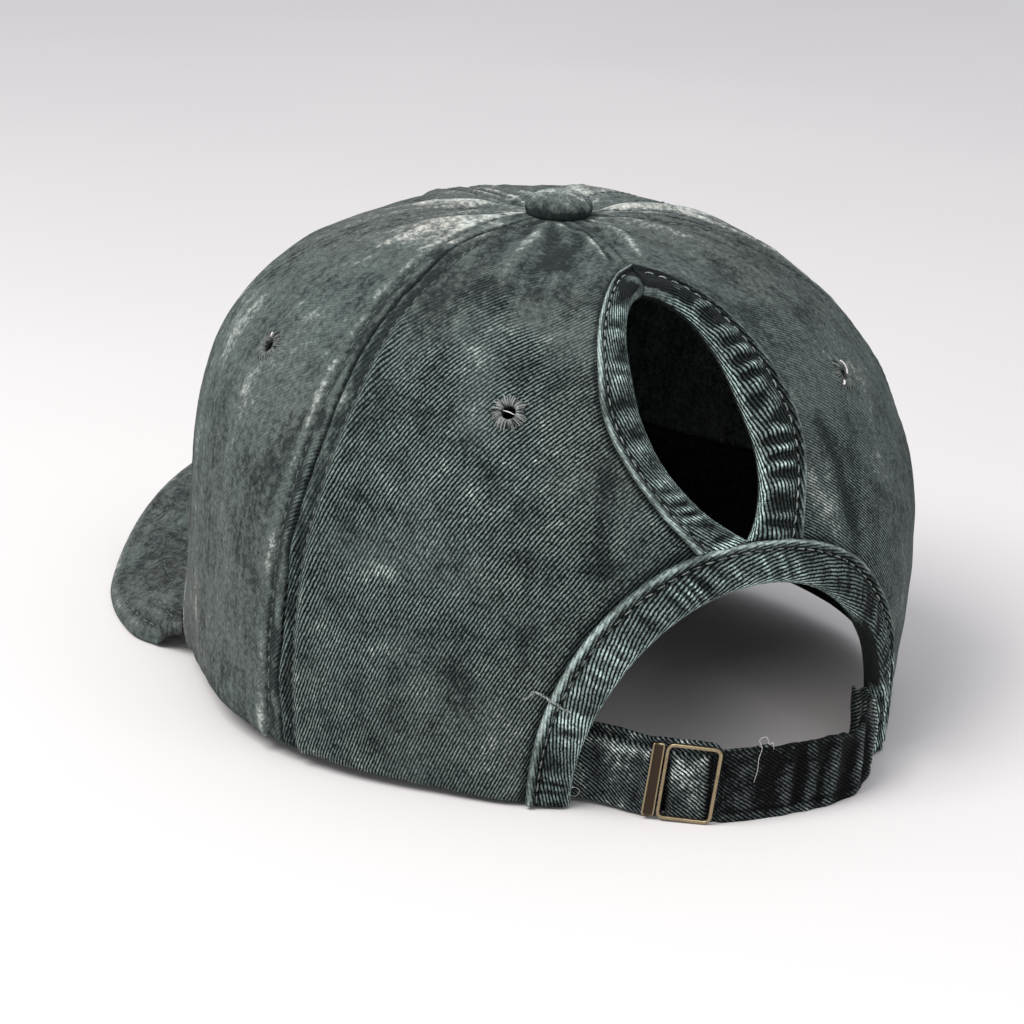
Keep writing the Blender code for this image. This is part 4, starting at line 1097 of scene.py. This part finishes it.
def stitch_paths(points, normals, pitch, length, seed):
    """Short arched paths along a dense row of points, one a pitch, and their upward directions."""
    spans = np.concatenate(([0.0], np.cumsum(np.linalg.norm(np.diff(points, axis=0), axis=1))))
    starts = np.arange(0.4, spans[-1] - length, pitch)
    random = np.random.default_rng(seed)
    starts = starts + random.uniform(-0.16, 0.16, len(starts))
    across = random.uniform(-0.10, 0.10, (len(starts), 1))
    along = starts[:, None] + length * np.linspace(0.0, 1.0, len(STITCH_ARCH))
    path = np.stack([np.interp(along, spans, points[:, i]) for i in range(3)], -1)
    up = unit(np.stack([np.interp(along, spans, normals[:, i]) for i in range(3)], -1))
    side = unit(np.cross(np.gradient(path, axis=1), up))
    skew = across * np.linspace(-1.0, 1.0, len(STITCH_ARCH))
    return path + up * np.array(STITCH_ARCH)[:, None] + side * skew[..., None], up


def add_stitches(name, rows, material, seed, pitch=3.1, length=2.3):
    """Rows of stitches as one piece; each row is points and normals in the cap's frame."""
    stitches = [stitch_paths(*row, pitch, length, seed + count) for count, row in enumerate(rows)]
    paths = np.concatenate([path for path, _ in stitches])
    ups = np.concatenate([up for _, up in stitches])
    add_threads(name, paths, ups, THREAD_RADIUS * np.array(STITCH_THICKNESS), material)


def seam_row(angles, rises, offset):
    """Points and normals of a row on the crown, offset in millimetres beside given angles."""
    angle = angles + offset / per_degree(np.maximum(panel_radius(angles, rises), 4.0))
    return outer_point(angle, rises), outward_at(angle, rises)


def crown_stitch_rows():
    """The rows on both sides of every seam between panels."""
    rises = np.linspace(0.012, 0.93, 700)
    front = np.full(len(rises), FRONT_SEAM_ANGLE)
    middle = np.full(len(rises), 180.0)
    seams = (back_seam(rises), front, -back_seam(rises), -front, middle)
    offsets = (-SEAM_STITCH_OFFSET, SEAM_STITCH_OFFSET)
    return [seam_row(seam, rises, offset) for seam in seams for offset in offsets]


# Eyelets


def spot_axes(angle, rise):
    """Centre, the two ways across and the normal of a spot on the crown."""
    angle = np.array(angle)
    rise = np.array(rise)
    centre = crown_point(angle, rise)
    normal = outward_at(angle, rise)
    right = unit(np.cross(UP, normal))
    return centre, right, np.cross(normal, right), normal


def spun(axes, radius, turn, height):
    """Points at a radius, turn and height round a spot's normal."""
    centre, right, up, normal = axes
    flat = np.cos(turn)[..., None] * right + np.sin(turn)[..., None] * up
    return centre + np.asarray(radius)[..., None] * flat + np.asarray(height)[..., None] * normal


def add_eyelet(name, angle, rise, seed, material):
    """A buttonhole-stitched ring: a low torus under close radial loops of thread."""
    axes = spot_axes(angle, rise)
    random = np.random.default_rng(seed)
    profile = np.array(EYELET_RING)
    turn = 2 * np.pi * np.arange(EYELET_SIDES)[:, None] / EYELET_SIDES
    ring = place(spun(axes, profile[:, 0], turn, profile[:, 1]))
    loops = EYELET_LOOPS
    loop = smooth_curve(EYELET_LOOP, len(LOOP_THICKNESS))
    turns = 2 * np.pi * (np.arange(loops) + random.uniform(-0.28, 0.28, loops)) / loops
    reach = 1 + (loop[:, 0] - 1.4) / 2.6 * random.uniform(-0.16, 0.10, (loops, 1))
    twist = np.linspace(-0.05, 0.05, len(loop)) * random.uniform(-1.0, 1.6, (loops, 1))
    lift = loop[:, 1] + random.uniform(-0.12, 0.12, (loops, 1))
    paths = spun(axes, loop[:, 0] * reach, turns[:, None] + twist, lift)
    ups = np.broadcast_to(axes[3], paths.shape)
    tones = np.repeat(random.uniform(-0.7, 0.8, loops), len(loop) * THREAD_SIDES)
    radii = np.broadcast_to(EYELET_THREAD * np.array(LOOP_THICKNESS), paths.shape[:2]) * 0.001
    points, faces = tubes(place(paths), place_direction(ups), radii)
    faces = np.vstack([hoop_faces(*ring.shape[:2]), faces + ring.size // 3])
    points = np.vstack([ring.reshape(-1, 3), points])
    # Painted shade: the torus under the loops is made dark so the gaps between the loops show as shade
    wear = np.concatenate([np.full(ring.size // 3, -1.4), tones])
    add_piece(name + "_thread", points, faces, material, wear=wear, nodes=(name,), slot="eyelet_thread")


# Button


def add_button(material):
    """The cloth-covered button with soft tucks round its edge."""
    profile = smooth_curve(BUTTON_PROFILE, 44)
    level = profile[:, 1:]
    turn = 2 * np.pi * np.arange(BUTTON_SIDES) / BUTTON_SIDES
    radius, turn = np.broadcast_arrays(profile[:, :1], turn)
    rim = bell(radius - 7.3, 2.2) * (level > -0.1)
    tucks = np.sin(BUTTON_TUCKS * turn + 1.4 * noise(turn * 2.2, radius / 5.0, 71)) * rim
    radius = radius + 0.10 * tucks
    height = level + BUTTON_RAISE * ease((level + 0.1) / 1.2) + 0.08 * tucks * (level > 0.8)
    height += 0.10 * noise(radius / 2.4, turn * 3.0, 73) * (level > 1.0)
    points = spun(spot_axes(0.0, 0.9995), radius, turn, height)
    x = radius * np.cos(turn)
    y = radius * np.sin(turn)
    cloth = np.stack([x * 0.8 + y * 0.6, y * 0.8 - x * 0.6, np.full_like(x, 0.04)], -1)
    # Painted light and shade: the dome is paler towards its top and darker on its lower side and
    # underside; the tucks are paler where they bulge
    wear = 0.85 * np.clip((level - 2.2) / 1.8, -1.0, 1.0) + 0.35 * tucks - 0.9 * (level < 0.9)
    said = {"cloth": cloth, "wear": wear, "nodes": ("top_button",), "slot": "crown_twill"}
    add_loft("top_button_cloth", place(points), material, **said)


# Strap and buckle


def strap_path():
    """Plan points of the strap's outer face by length from the buckle's middle."""
    plan = np.array(STRAP_PLAN)
    fine = np.linspace(0, len(plan) - 1, 12 * len(plan))
    path = np.stack([np.interp(fine, np.arange(len(plan)), plan[:, i]) for i in range(2)])
    for _ in range(20):
        path[:, 1:-1] = (path[:, :-2] + 2 * path[:, 1:-1] + path[:, 2:]) / 4
    lengths = np.concatenate(([0.0], np.cumsum(np.hypot(*np.diff(path)))))
    lengths -= np.interp(BUCKLE_X, path[0], lengths)
    flat = (lengths > FLAT_FROM) & (lengths < FLAT_TO)
    ends = np.array([FLAT_FROM, FLAT_TO])
    for line in path:
        line[flat] = np.interp(lengths[flat], ends, np.interp(ends, lengths, line))
    return lengths, path


STRAP_LENGTHS, STRAP_PATH = strap_path()


def strap_point(length, height, depth):
    """Points at lengths along the strap, heights above the rim and depths inside its face."""
    length, height, depth = np.broadcast_arrays(length, height, depth)

    def plan(at):
        return np.array([np.interp(at, STRAP_LENGTHS, line) for line in STRAP_PATH])

    x, y = plan(length)
    run_x, run_y = plan(length + 1.5) - plan(length - 1.5)
    inward = (depth + height * STRAP_LEAN) / np.hypot(run_x, run_y)
    return np.stack([x + run_y * inward, y - run_x * inward, height], -1)


def strap_profile():
    """Height share and depth share round a flat strap with rounded edges."""
    turn = np.radians(np.arange(15.0, 180.0, 25.0))
    face = np.linspace(0.035, 0.965, 40)
    back = np.linspace(0.965, 0.035, 16)
    height = np.concatenate([face, 0.965 + 0.035 * np.sin(turn), back, 0.035 - 0.035 * np.sin(turn)])
    depth = (1 - np.cos(turn)) / 2
    depth = np.concatenate([0 * face, depth, 1 + 0 * back, depth[::-1]])
    return height, depth


def strap_layer(lengths, low, top, depth, thick, push):
    """Rings, cloth, and wear with painted light and shade, of one layer of strap; push gives lift and
    those values from length and share.
    """
    share, inside = strap_profile()
    length = lengths[:, None]
    height = low + (np.reshape(top, (-1, 1)) - low) * share
    lift, wear = push(length, share)
    rings = strap_point(length, height, depth[:, None] + thick * inside - lift * (1 - 0.25 * inside))
    slant = math.radians(STRAP_WALE_SLANT)
    across = length * math.sin(slant) - height * math.cos(slant)
    along = length * math.cos(slant) + height * math.sin(slant)
    cloth = np.stack([across, along, np.ones_like(across)], -1)
    return place(rings), cloth, np.clip(wear - 0.8 * (inside > 0.55), -1.3, 1.4)


def add_strap(name, layers, material):
    """One piece from the closed layers of a strap."""
    faces = []
    start = 0
    for rings, _, _ in layers:
        faces.append(tube_faces(*rings.shape[:2]) + start)
        start += rings.size // 3
    points = np.vstack([rings.reshape(-1, 3) for rings, _, _ in layers])
    cloth = np.vstack([cloth.reshape(-1, 3) for _, cloth, _ in layers])
    wear = np.concatenate([wear.ravel() for _, _, wear in layers])
    said = {"cloth": cloth, "wear": wear, "nodes": (name,), "slot": "binding_twill"}
    add_piece(name + "_cloth", points, np.vstack(faces), material, **said)


def folds_at(length, share, folds):
    """Lift of the upright folds of a strap."""
    return sum(
        height * bell(length - at - slant * (share - 0.5), reach) for at, height, reach, slant in folds
    )


def crumple(length, share, height, step, fine_step, seed):
    """Soft crumples of a strap, broad ones and fine ones."""
    broad = height * noise(length / step, share * 4.0, seed)
    return broad + 0.10 * noise(length / fine_step, share * 8.0, seed + 2)


def push_right(length, share):
    """Folds, bulge inside the buckle's window and worn lines of the right strap, with painted light and
    shade: paler fold crests, a painted highlight inside the window and a painted shadow where the strap
    runs under the wire.
    """
    arch = np.sin(np.pi * share)
    middle = arch**0.45
    folds = folds_at(length, share, RIGHT_FOLDS) * middle
    window = ease((length + 5.4) / 1.6) * ease((5.2 - length) / 1.4)
    crease = bell(share - 0.165 - 0.02 * noise(length / 8.0, 0.0, 87), 0.03) * ease((-length - 7.0) / 6.0)
    bulge = (0.75 + 0.25 * noise(length / 3.0, share * 5.0, 89)) * arch**0.6
    lift = folds + crumple(length, share, 0.22, 4.2, 1.8, 83) * middle - 0.28 * crease
    lift = lift * (1 - window) + window * bulge
    lift -= 0.30 * bell(length + 6.2, 0.9) + 0.9 * bell(length + 4.3, 0.55) * middle
    end = ease((-length - 55.0) / 4.0)
    # Fold crests paler and troughs darker: wear with painted light and shade
    wear = (1.5 - 0.4 * end) * folds - 0.75 + 0.8 * end + 0.35 * noise(length / 5.0, share * 3.0, 91)
    wear += 0.55 * bell(share - 0.08, 0.07) + 0.45 * bell(share - 0.965, 0.03) - 0.6 * crease
    # Painted highlight: lit is a pale band across the strap inside the buckle's window; the dark line at
    # the window's edge is painted shadow under the wire
    lit = 0.28 + 0.75 * bell(share - 0.78 + 0.03 * length, 0.13)
    lit += 0.25 * noise(length / 2.4, share * 6.0, 93)
    wear = wear * (1 - window) + window * lit - 1.5 * bell(length + 4.4, 0.5)
    return lift, wear


def push_left(length, share):
    """Soft folds, paler on their crests with wear and painted light, and the pale worn top of the left
    strap's front layer, which also holds a painted highlight.
    """
    middle = np.sin(np.pi * share) ** 0.5
    folds = folds_at(length, share, LEFT_FOLDS) * middle
    lift = folds + crumple(length, share, 0.26, 4.6, 1.9, 103) * middle + 0.35 * bell(share - 0.93, 0.07)
    wear = 0.75 * folds + 0.25 + 0.4 * noise(length / 5.0, share * 3.0, 107)
    wear += 0.95 * bell(share - 0.90 - 0.01 * noise(length / 3.0, 0, 109), 0.085)
    wear += 0.3 * bell(share - 0.05, 0.05) - 0.8 * ease((length - 25.0) / 6.0)
    return lift, wear


def push_back(length, share):
    """The plain back layer, a little darker, with a frayed pale top."""
    wear = 0.15 + 0.35 * noise(length / 2.5, share * 9.0, 115) + 0.5 * bell(share - 0.975, 0.02)
    return 0.18 * noise(length / 5.0, share * 4.0, 113), wear


def add_straps(material):
    """The left strap with its folded front layer and its back layer, and the right strap."""
    full = STRAP_FOOT + STRAP_HEIGHT
    left_end = STRAP_LENGTHS[-1] - 0.02
    lengths = np.concatenate([np.arange(left_end, 9.4, -0.45), np.arange(9.3, 6.0, -0.3)])
    depth = 1.1 * ease((9.8 - lengths) / 3.4)
    front = strap_layer(lengths, STRAP_FOOT, full - 0.6, depth, 1.15, push_left)
    lengths = np.arange(left_end, -20.0, -0.6)
    depth = 1.75 + 0.55 * ease((11.0 - lengths) / 4.0)
    top = full - 0.5 + 1.4 * ease((lengths + 9.0) / 5.0) + 0.15 * noise(lengths / 3.0, 0.0, 117)
    back = strap_layer(lengths, STRAP_FOOT + 0.3, top, depth, 1.2, push_back)
    add_strap("strap_left", (front, back), material)
    lengths = np.arange(STRAP_LENGTHS[0] + 0.02, 5.25, 0.42)
    window = ease((lengths + 7.5) / 2.0)
    frayed = 0.22 * noise(lengths / 2.6, 0.0, 119) + 0.10 * noise(lengths, 0.0, 121)
    top = full - 1.1 * window + frayed * (1 - window)
    top -= 1.9 * bell(lengths + 44.0, 5.0) + 2.4 * ease((-lengths - 65.0) / 5.0)
    depth = 0.5 * bell(lengths + 6.2, 1.2) - 0.9 * ease((-lengths - 56.0) / 5.0)
    thick = 1.5 - 0.7 * ease((-lengths - 50.0) / 6.0)[:, None]
    right = strap_layer(lengths, STRAP_FOOT, top, depth, thick, push_right)
    add_strap("strap_right", (right,), material)


def rounded_box_path(length, height, corner):
    """Points round a rectangle with rounded corners, centred on the origin."""
    points = []
    for quarter, (sign_x, sign_z) in enumerate(((1, 1), (-1, 1), (-1, -1), (1, -1))):
        turn = quarter * math.pi / 2 + np.linspace(0.0, math.pi / 2, 7)
        x = sign_x * (length / 2 - corner) + corner * np.cos(turn)
        z = sign_z * (height / 2 - corner) + corner * np.sin(turn)
        points.append(np.stack([x, z], -1))
    return np.vstack(points)


def buckle_point(x, z, lift):
    """Points of the slanting buckle, x along the strap and z up from its middle."""
    return strap_point(x - BUCKLE_SLANT * z, BUCKLE_MIDDLE + z, -np.asarray(lift))


def squared(wave):
    """A wave with flatter tops, for a squarish section."""
    return np.sign(wave) * np.abs(wave) ** 0.7


def add_buckle_frame(material):
    """The wire frame, bright on its outer face."""
    turn = 2 * np.pi * np.arange(WIRE_SIDES) / WIRE_SIDES
    inset = WIRE_WIDTH / 2 * (1 - squared(np.cos(turn)))
    lift = GAP + FRAME_WIRE / 2 * (1 + squared(np.sin(turn)))
    rings = []
    for inward, raised in zip(inset, lift):
        corner = max(FRAME_CORNER - inward, 0.2)
        path = rounded_box_path(FRAME_LENGTH - 2 * inward, FRAME_HEIGHT - 2 * inward, corner)
        rings.append(buckle_point(path[:, 0], path[:, 1], raised))
    rings = place(np.array(rings).transpose(1, 0, 2))
    bright = np.broadcast_to(0.15 + 0.5 * bell(lift - GAP - FRAME_WIRE, 0.35), rings.shape[:2])
    said = {"wear": bright, "nodes": ("buckle_frame",), "slot": "buckle_brass"}
    add_piece("buckle_wire", rings, hoop_faces(*rings.shape[:2]), material, **said)


def add_buckle_clamp(material):
    """The clamp plate with raised bright edges beside the frame."""
    z = np.linspace(-CLAMP_HEIGHT / 2, CLAMP_HEIGHT / 2, 26)[:, None]
    past_end = np.abs(z) - CLAMP_HEIGHT / 2
    across, level, bright = np.array(CLAMP_PROFILE).T
    start = FRAME_LENGTH / 2 + GAP + CLAMP_LENGTH / 2
    x = start + CLAMP_LENGTH / 2 * across * (1 - 0.16 * bell(past_end, 0.35))
    lift = np.broadcast_to(GAP + CLAMP_THICKNESS * level, x.shape)
    wear = np.clip(bright + 1.2 * bell(past_end, 0.4), -1.0, 1.0)
    said = {"wear": wear, "nodes": ("buckle_clamp",), "slot": "buckle_brass"}
    add_loft("clamp_plate", place(buckle_point(x, z, lift)), material, **said)


# Brim


def brim_point(across, out):
    """Upper face of the brim: across -1 to 1 along the seam, out 0 at the crown to 1 at the edge."""
    across, out = np.broadcast_arrays(across, out)
    angle = 180.0 - (180.0 - FRONT_SEAM_ANGLE - 1.0) * across
    root = crown_point(angle, 0.0 * angle, BRIM_INNER_LIFT)
    root[..., 2] += BRIM_THICKNESS
    marks = np.linspace(0.0, 1.0, 80)
    outline = smooth_curve(BRIM_OUTLINE, 80)
    edge = np.stack([np.interp(np.abs(across), marks, outline[:, i]) for i in range(3)], -1)
    edge[..., 0] *= np.sign(across)
    point = root + (edge - root) * out[..., None]
    point[..., 2] += BRIM_CAMBER * np.sin(np.pi * out)
    return point


def brim_length(across):
    """Millimetres from the crown to the brim's edge."""
    return np.linalg.norm(brim_point(across, 1.0) - brim_point(across, 0.0), axis=-1)


def add_brim(material, thread):
    """The brim with a rounded edge and its rows of stitches."""
    inward = np.concatenate([np.linspace(0, 0.03, 5), np.linspace(0.045, 1.0, 72)])
    across, out = np.broadcast_arrays(np.linspace(-1.0, 1.0, 181), 1 - inward[::-1, None])
    distance = (1 - out) * brim_length(across)
    half = BRIM_THICKNESS / 2
    round_off = half * (1 - np.sqrt(1 - (1 - np.minimum(distance / half, 1.0)) ** 2))
    rows = sum(bell(distance - row, 0.7) for row in BRIM_ROWS)
    pulls = np.sin(2 * np.pi * across * 26 + 2 * noise(across * 9, out * 5, 131))
    lift = -0.15 * rows + 0.20 * noise(across * 14, out * 7, 133) + 0.05 * pulls
    lift = lift * ease(out / 0.06) * ease(distance)
    upper = brim_point(across, out)
    under = upper.copy()
    upper[..., 2] += lift - round_off
    under[..., 2] += round_off + 0.6 * lift - BRIM_THICKNESS
    wear = 0.9 * bell(distance - 1.0, 1.3) - 0.35 * rows + 0.3 * noise(across * 12, out * 6, 135) - 0.55
    wear += 0.25 * bell(distance - 6.0, 1.5)
    x, y, _ = np.moveaxis(upper, -1, 0)
    cloth = np.stack([x * 0.72 + y * 0.69, y * 0.72 - x * 0.69, np.full_like(x, 0.05)], -1)
    said = {"cloth": cloth, "wear": wear, "nodes": ("brim",), "slot": "crown_twill"}
    add_shell("brim_cloth", place(upper), place(under), material, **said)
    stitch_rows = []
    reach = np.linspace(-0.985, 0.985, 500)
    for row in BRIM_ROWS[:-1]:
        share = 1 - row / brim_length(reach)
        keep = share > 0.05
        points = brim_point(reach[keep], share[keep]) - 0.25 * UP
        stitch_rows.append((points, np.broadcast_to(UP, points.shape)))
    add_stitches("brim_stitches", stitch_rows, thread, 301, pitch=3.2, length=2.5)


# Sweatband


def add_sweatband(material, thread):
    """A plain band inside the rim, thinner at its top and stitched along its foot."""
    angle, share = np.broadcast_arrays(np.linspace(40.0, 320.0, 240), np.linspace(0.0, 1.0, 30)[:, None])
    rise = 0.008 + 0.182 * share
    roll = ease((share - 0.93) / 0.07)
    wave = 0.22 * noise(angle / 5.0, share * 3.0, 141) * ease(share / 0.2)
    outer = -CLOTH - 0.55
    inner = outer - 1.2 + 0.5 * roll - wave - 0.25 * bell(share - 0.05, 0.04)
    outer_face = place(crown_point(angle, rise, outer - 0.3 * roll))
    inner_face = place(crown_point(angle, rise, inner))
    cloth = np.stack([share * 30.0, np.radians(angle) * 82.0, np.full_like(share, 0.2)], -1)
    wear = 0.5 * bell(share - 0.97, 0.04) - 0.4
    said = {"cloth": cloth, "wear": wear, "nodes": ("sweatband",), "slot": "sweatband_cotton"}
    add_shell("sweatband_cloth", outer_face, inner_face, material, **said)
    row = np.linspace(41.0, 319.0, 1400)
    rise = np.full_like(row, 0.022)
    points = crown_point(row, rise, np.full_like(row, -CLOTH - 1.8))
    add_stitches("sweatband_stitches", ((points, -outward_at(row, rise)),), thread, 401)


def hole_rows(side):
    """Sections of one half of the ponytail binding from its foot to its top."""
    hole = smooth_curve(HOLE_SECTIONS, 230)
    hole[:, ::2] = side * np.maximum(hole[:, ::2], 0.1)
    return hole


def add_bindings(material, thread):
    """The arch binding, the two halves of the ponytail binding and their stitches."""
    arch = arch_sections(420)
    said = {"ripple": 0.20, "lean": 14.0, "folds": ARCH_FOLDS, "tint": 0.1, "tucked": 1.0}
    add_binding("arch_binding", arch, material, **said)
    rows = [band_row(arch, STITCH_SHARE, STITCH_LIFT)]
    # Painted shade: the right half of the ponytail binding takes a darker tint than the left half
    for side, word, tint, sunk in ((1, "left", 0.2, 0.12), (-1, "right", -0.5, 0.0)):
        hole = hole_rows(side)
        said = {"ripple": 0.40, "lean": 14.0 * side, "folds": HOLE_FOLDS[word], "tint": tint}
        add_binding("ponytail_binding_" + word, hole, material, sunk=sunk, dark_end=1.0, **said)
        rows.append(band_row(hole, STITCH_SHARE, STITCH_LIFT - sunk))
    add_stitches("binding_stitches", rows, thread, 5, pitch=STITCH_PITCH, length=2.1)


def main():
    """Makes every material, then every piece of the cap."""
    crown = twill("washed_twill")
    plain = twill("plain_twill")
    look = {"wale": 0.68, "dark": color(18, 22, 22), "pale": color(114, 130, 127), "earth": 0.25}
    binding = twill("binding_twill", wear_gain=1.5, **look)
    look = {"wale": 0.74, "dark": color(6, 7, 8), "middle": color(48, 54, 54), "earth": 0.3}
    strap = twill("strap_twill", bump=0.25, **look)
    look = {"dark": color(14, 16, 17), "middle": color(30, 33, 34), "pale": color(60, 66, 66)}
    inside = twill("sweatband_cotton", wale=0.9, **look)
    dark_thread = thread_material("dark_thread", color(40, 46, 46), color(110, 118, 114))
    grey_thread = thread_material("grey_thread", color(26, 30, 30), color(150, 154, 152))
    dull_thread = thread_material("dull_thread", color(38, 42, 42), color(112, 118, 114))
    binding_thread = thread_material("binding_thread", color(40, 46, 46), color(160, 168, 164))
    pale_thread = thread_material("pale_thread", color(190, 184, 182), color(240, 236, 235))
    brass = brass_material("antique_brass")
    for side, word in ((1, "left"), (-1, "right")):
        for which in ("back", "side", "front"):
            add_panel(side, word, which, crown)
    add_bindings(binding, binding_thread)
    add_stitches("seam_stitches", crown_stitch_rows(), dark_thread, 201)
    add_button(plain)
    for number, (place_name, angle, rise) in enumerate(EYELET_PLACES):
        thread = grey_thread if place_name == "back_left" else dull_thread
        add_eyelet("eyelet_" + place_name, angle, rise, 500 + number, thread)
    add_straps(strap)
    add_buckle_frame(brass)
    add_buckle_clamp(brass)
    add_brim(plain, dark_thread)
    add_sweatband(inside, dark_thread)
    add_bartack(binding_thread)
    add_loose_threads(pale_thread)


def across_spot(spot, offsets):
    """Points at offsets (right, up, out) in millimetres from a spot of the crown."""
    centre, right, up, normal = spot_axes(*spot)
    return [centre + right * a + up * b + normal * c for a, b, c in offsets]


def add_bartack(material):
    """The close zigzag of thread that ties the arch binding down at its left side."""
    count = 34
    share = np.linspace(0.0, 1.0, count)
    angle = np.interp(share, (0.0, 0.18, 1.0), (36.6, 35.2, 29.7))
    rise = np.interp(share, (0.0, 0.18, 0.5, 1.0), (0.150, 0.163, 0.158, 0.143))
    lift = np.interp(share, (0.0, 0.46, 0.54, 0.63, 0.70, 1.0), (0.5, 0.6, 1.9, 1.9, 1.45, 1.75))
    core = crown_point(angle, rise, lift)
    normal = outward_at(angle, rise)
    side = unit(np.cross(np.gradient(core, axis=0), normal))
    swap = np.where(np.arange(count) % 2 == 0, 1.0, -1.0)[:, None]
    paths = []
    for sway, raised in ((0.30 * swap, 0.10), (-0.22 * swap, 0.18), (0.12, 0.05)):
        paths.append(smooth_curve(core + side * sway + normal * raised, 4 * count))
    paths = np.array(paths)
    ups = np.broadcast_to(normal[count // 2], paths.shape)
    twist = 1.4 * np.sin(np.arange(paths.size // 3) * 0.9)
    add_threads("arch_bartack", paths, ups, 0.12, material, wear=np.repeat(twist, THREAD_SIDES))


def add_loose_threads(material):
    """A few short bare threads at the strap and in the nearest eyelets."""
    threads = [strap_point(*np.array(spots).T) for _, spots in STRAP_THREADS]
    threads += [across_spot(EYELET_PLACES[number][1:], spots) for _, number, spots in EYELET_ENDS]
    paths = np.array([smooth_curve(spots, 24) for spots in threads])
    ups = np.broadcast_to(np.array((0.1, 0.2, 0.97)), paths.shape)
    radii = np.array([row[0] for row in STRAP_THREADS + EYELET_ENDS])[:, None]
    add_threads("loose_threads", paths, ups, radii, material)


def direction(azimuth, elevation):
    """The way from the origin at an azimuth and elevation in degrees."""
    a = math.radians(azimuth)
    e = math.radians(elevation)
    return Vector((math.sin(a) * math.cos(e), -math.cos(a) * math.cos(e), math.sin(e)))


def add_camera():
    """The camera that sees the cap as the photograph does."""
    camera = bpy.data.objects.new("camera", bpy.data.cameras.new("camera"))
    bpy.context.scene.collection.objects.link(camera)
    back = direction(CAMERA_AZIMUTH, CAMERA_ELEVATION)
    turn = (-back).to_track_quat("-Z", "Y").to_matrix()
    roll = Matrix.Rotation(math.radians(CAMERA_ROLL), 3, "Z")
    camera.matrix_world = Matrix.Translation(CAMERA_EYE) @ (turn @ roll).to_4x4()
    camera.data.lens = CAMERA_LENS
    camera.data.clip_start = 0.01
    bpy.context.scene.camera = camera


def add_light(name, size, power, azimuth, elevation, distance, tint):
    """A square soft light that faces the middle of the cap."""
    light = bpy.data.lights.new(name, "AREA")
    light.size = size
    light.energy = power
    light.color = tint
    lamp = bpy.data.objects.new(name, light)
    bpy.context.scene.collection.objects.link(lamp)
    away = direction(azimuth, elevation)
    lamp.location = away * distance + Vector((0.0, 0.02, 0.05))
    lamp.rotation_mode = "QUATERNION"
    lamp.rotation_quaternion = away.to_track_quat("Z", "Y")


def add_studio():
    """A plain pale floor under plain soft light."""
    bpy.ops.mesh.primitive_plane_add(size=12.0, location=(0.0, 0.0, 0.0))
    floor = bpy.context.object
    floor.name = "floor"
    n = Nodes("floor")
    speck = n.noise(n.spot(), 3.0, 2.0)
    tone = n.mix(n.spread(speck, 0.3, 0.7), color(226, 222, 221), color(230, 226, 224))
    n.join(tone, n.shader.inputs["Base Color"])
    n.shader.inputs["Roughness"].default_value = 0.8
    floor.data.materials.append(n.material)
    world = bpy.data.worlds.new("studio")
    world.use_nodes = True
    background = world.node_tree.nodes["Background"]
    background.inputs[0].default_value = (0.92, 0.94, 1.0, 1.0)
    background.inputs[1].default_value = 0.65
    bpy.context.scene.world = world
    add_light("key", 0.8, 16.0, 98.0, 54.0, 1.3, (1.0, 0.99, 0.97))
    add_light("fill", 1.2, 4.0, 190.0, 40.0, 1.6, (0.97, 0.98, 1.0))


add_camera()
main()
add_studio()
bpy.context.scene.view_settings.view_transform = "Standard"
